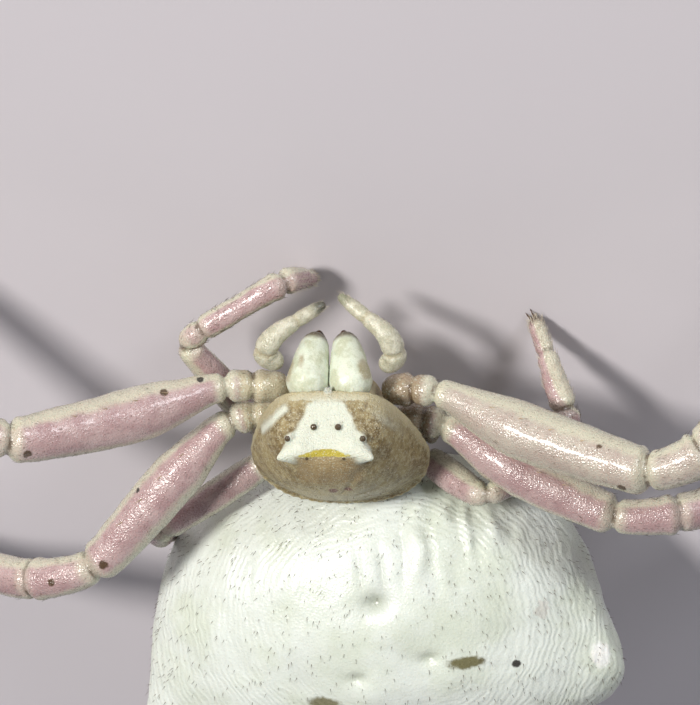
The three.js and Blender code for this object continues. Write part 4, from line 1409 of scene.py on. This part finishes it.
strips = {name: 0.02 + 0.11 * i for i, name in enumerate(LEGS)}
for side, _ in SIDES:
    fine, stiff = [], []
    for leg_name in LEGS:
        if not leg_name.endswith(side):
            continue
        _, root, _, knee, shank, ankle, foot = courses[leg_name].joints
        share = 1 if leg_name[4] in "12" else SHORT_LEG_SHARE
        strip = strips[leg_name]
        fine += limb_hairs(leg_name, strip, 0.3, knee, int(330 * share), 0.05, 0.0035, 0.72)
        fine += limb_hairs(leg_name, strip, knee, ankle, int(420 * share), 0.065, 0.004, 0.66)
        stiff += limb_hairs(leg_name, strip, ankle, foot - 0.05, int(460 * share), 0.085, 0.0045, 0.66)
        stiff += limb_hairs(leg_name, strip, foot - 0.2, foot - 0.02, 70, 0.07, 0.0045, 0.8)
    add_hairs(f"hairs_legs_{side}", fine, dark_hair)
    add_hairs(f"hairs_feet_{side}", stiff, pale_hair)
palp_hairs = []
for i, (side, _) in enumerate(SIDES):
    palp_name = "palp_" + side
    length = courses[palp_name].length
    cut = length * PALP_CUTS[1]
    strip = 0.1 + 0.3 * i
    palp_hairs += limb_hairs(palp_name, strip, 0.3, cut, 70, 0.05, 0.0035, 0.65)
    palp_hairs += limb_hairs(palp_name, strip, cut, length - 0.03, 130, 0.06, 0.0035, 0.75)
add_hairs("hairs_palps", palp_hairs, pale_hair)


# Spines: stout, glassy and paired, under the shin and foot of the first two pairs of legs,
# with a few short ones on the front of the thigh. They are horn, their roots sunk in the skin.
SPINES_IN_ROW = 5
THIGH_SPINES = 4
SHIN_SPINE = (0.3, 0.02)
FOOT_SPINE = (0.26, 0.02)
THIGH_SPINE = (0.13, 0.012)
THIGH_FRONT = Vector((0, -1, 0.35))
spine_material = hair_material("leg spine", (0.40, 0.30, 0.17), (0.62, 0.5, 0.34), 0.25)


def square_to(direction, along):
    """The part of a direction that is square to a limb."""
    return (direction - along * direction.dot(along)).normalized()


spines = []
for leg_name in LEGS:
    if leg_name[4] not in "12":
        continue
    course, radius_at = courses[leg_name], radii[leg_name]
    _, root, _, knee, shank, ankle, foot = course.joints
    metatarsus_end = lerp(ankle, foot, METATARSUS_SHARE)
    rows = [(lerp(shank, ankle, 0.35 + 0.13 * k), *SHIN_SPINE) for k in range(SPINES_IN_ROW)]
    rows += [(lerp(ankle, metatarsus_end, 0.1 + 0.17 * k), *FOOT_SPINE) for k in range(SPINES_IN_ROW)]
    for distance, length, radius in rows:
        middle, along, _, _ = course.at(distance)
        down = square_to(Vector((0, 0, -1)), along)
        across = along.cross(down)
        patch = (strips[leg_name], distance / course.length)
        for hand in (-1, 1):
            outward = (down * 0.8 + across * 0.6 * hand).normalized()
            base = middle + outward * (radius_at(distance) - 0.02)
            spines.append((base, outward * 0.6 + along * 0.8, along * 0.2, length, radius, patch))
    for k in range(THIGH_SPINES):
        distance = lerp(root, knee, 0.25 + 0.15 * k)
        middle, along, _, _ = course.at(distance)
        outward = square_to(THIGH_FRONT, along)
        base = middle + outward * (radius_at(distance) - 0.01)
        patch = (strips[leg_name], distance / course.length)
        spines.append((base, outward * 0.7 + along * 0.7, along * 0.15, *THIGH_SPINE, patch))
add_hairs("leg_spines", spines, spine_material)


# Bristles of the head and chest: short, blunt, pale horn, thinly set over the shield.
# A row of longer ones stands along the brow's lower edge.
BRISTLE_COUNT = 150
BRISTLE_SHARE = (0.02, 0.85)
BRISTLE_LENGTH = (0.05, 0.09)
BROW_BRISTLES = 9
BROW_BRISTLE_X = 0.52
bristles = []
for _ in range(BRISTLE_COUNT):
    angle = draw.uniform(-math.pi, math.pi)
    share = math.sqrt(draw.uniform(*BRISTLE_SHARE))
    point = carapace_point(angle, share, True)
    beside = carapace_point(angle + 0.02, share, True) - point
    inward = carapace_point(angle, share - 0.02, True) - point
    normal = beside.cross(inward).normalized()
    if normal.z < 0:
        normal.negate()
    direction = normal * 0.8 + Vector((0, -0.6, 0.1))
    patch = (angle / (2 * math.pi) + 0.5, share)
    length = draw.uniform(*BRISTLE_LENGTH)
    bristles.append((point - normal * 0.01, direction, Vector((0, -0.2, 0)), length, 0.006, patch))
for k in range(BROW_BRISTLES):
    x = lerp(-BROW_BRISTLE_X, BROW_BRISTLE_X, k / (BROW_BRISTLES - 1))
    base = Vector((x, -4.69 + 0.12 * abs(x), 2.53))
    direction = Vector((x * 0.2, -1, -0.25))
    bristles.append((base, direction, Vector((0, 0, -0.2)), 0.13, 0.008, (0.5 + x / 4, 0.97)))
add_hairs("bristles_carapace", bristles, pale_hair)
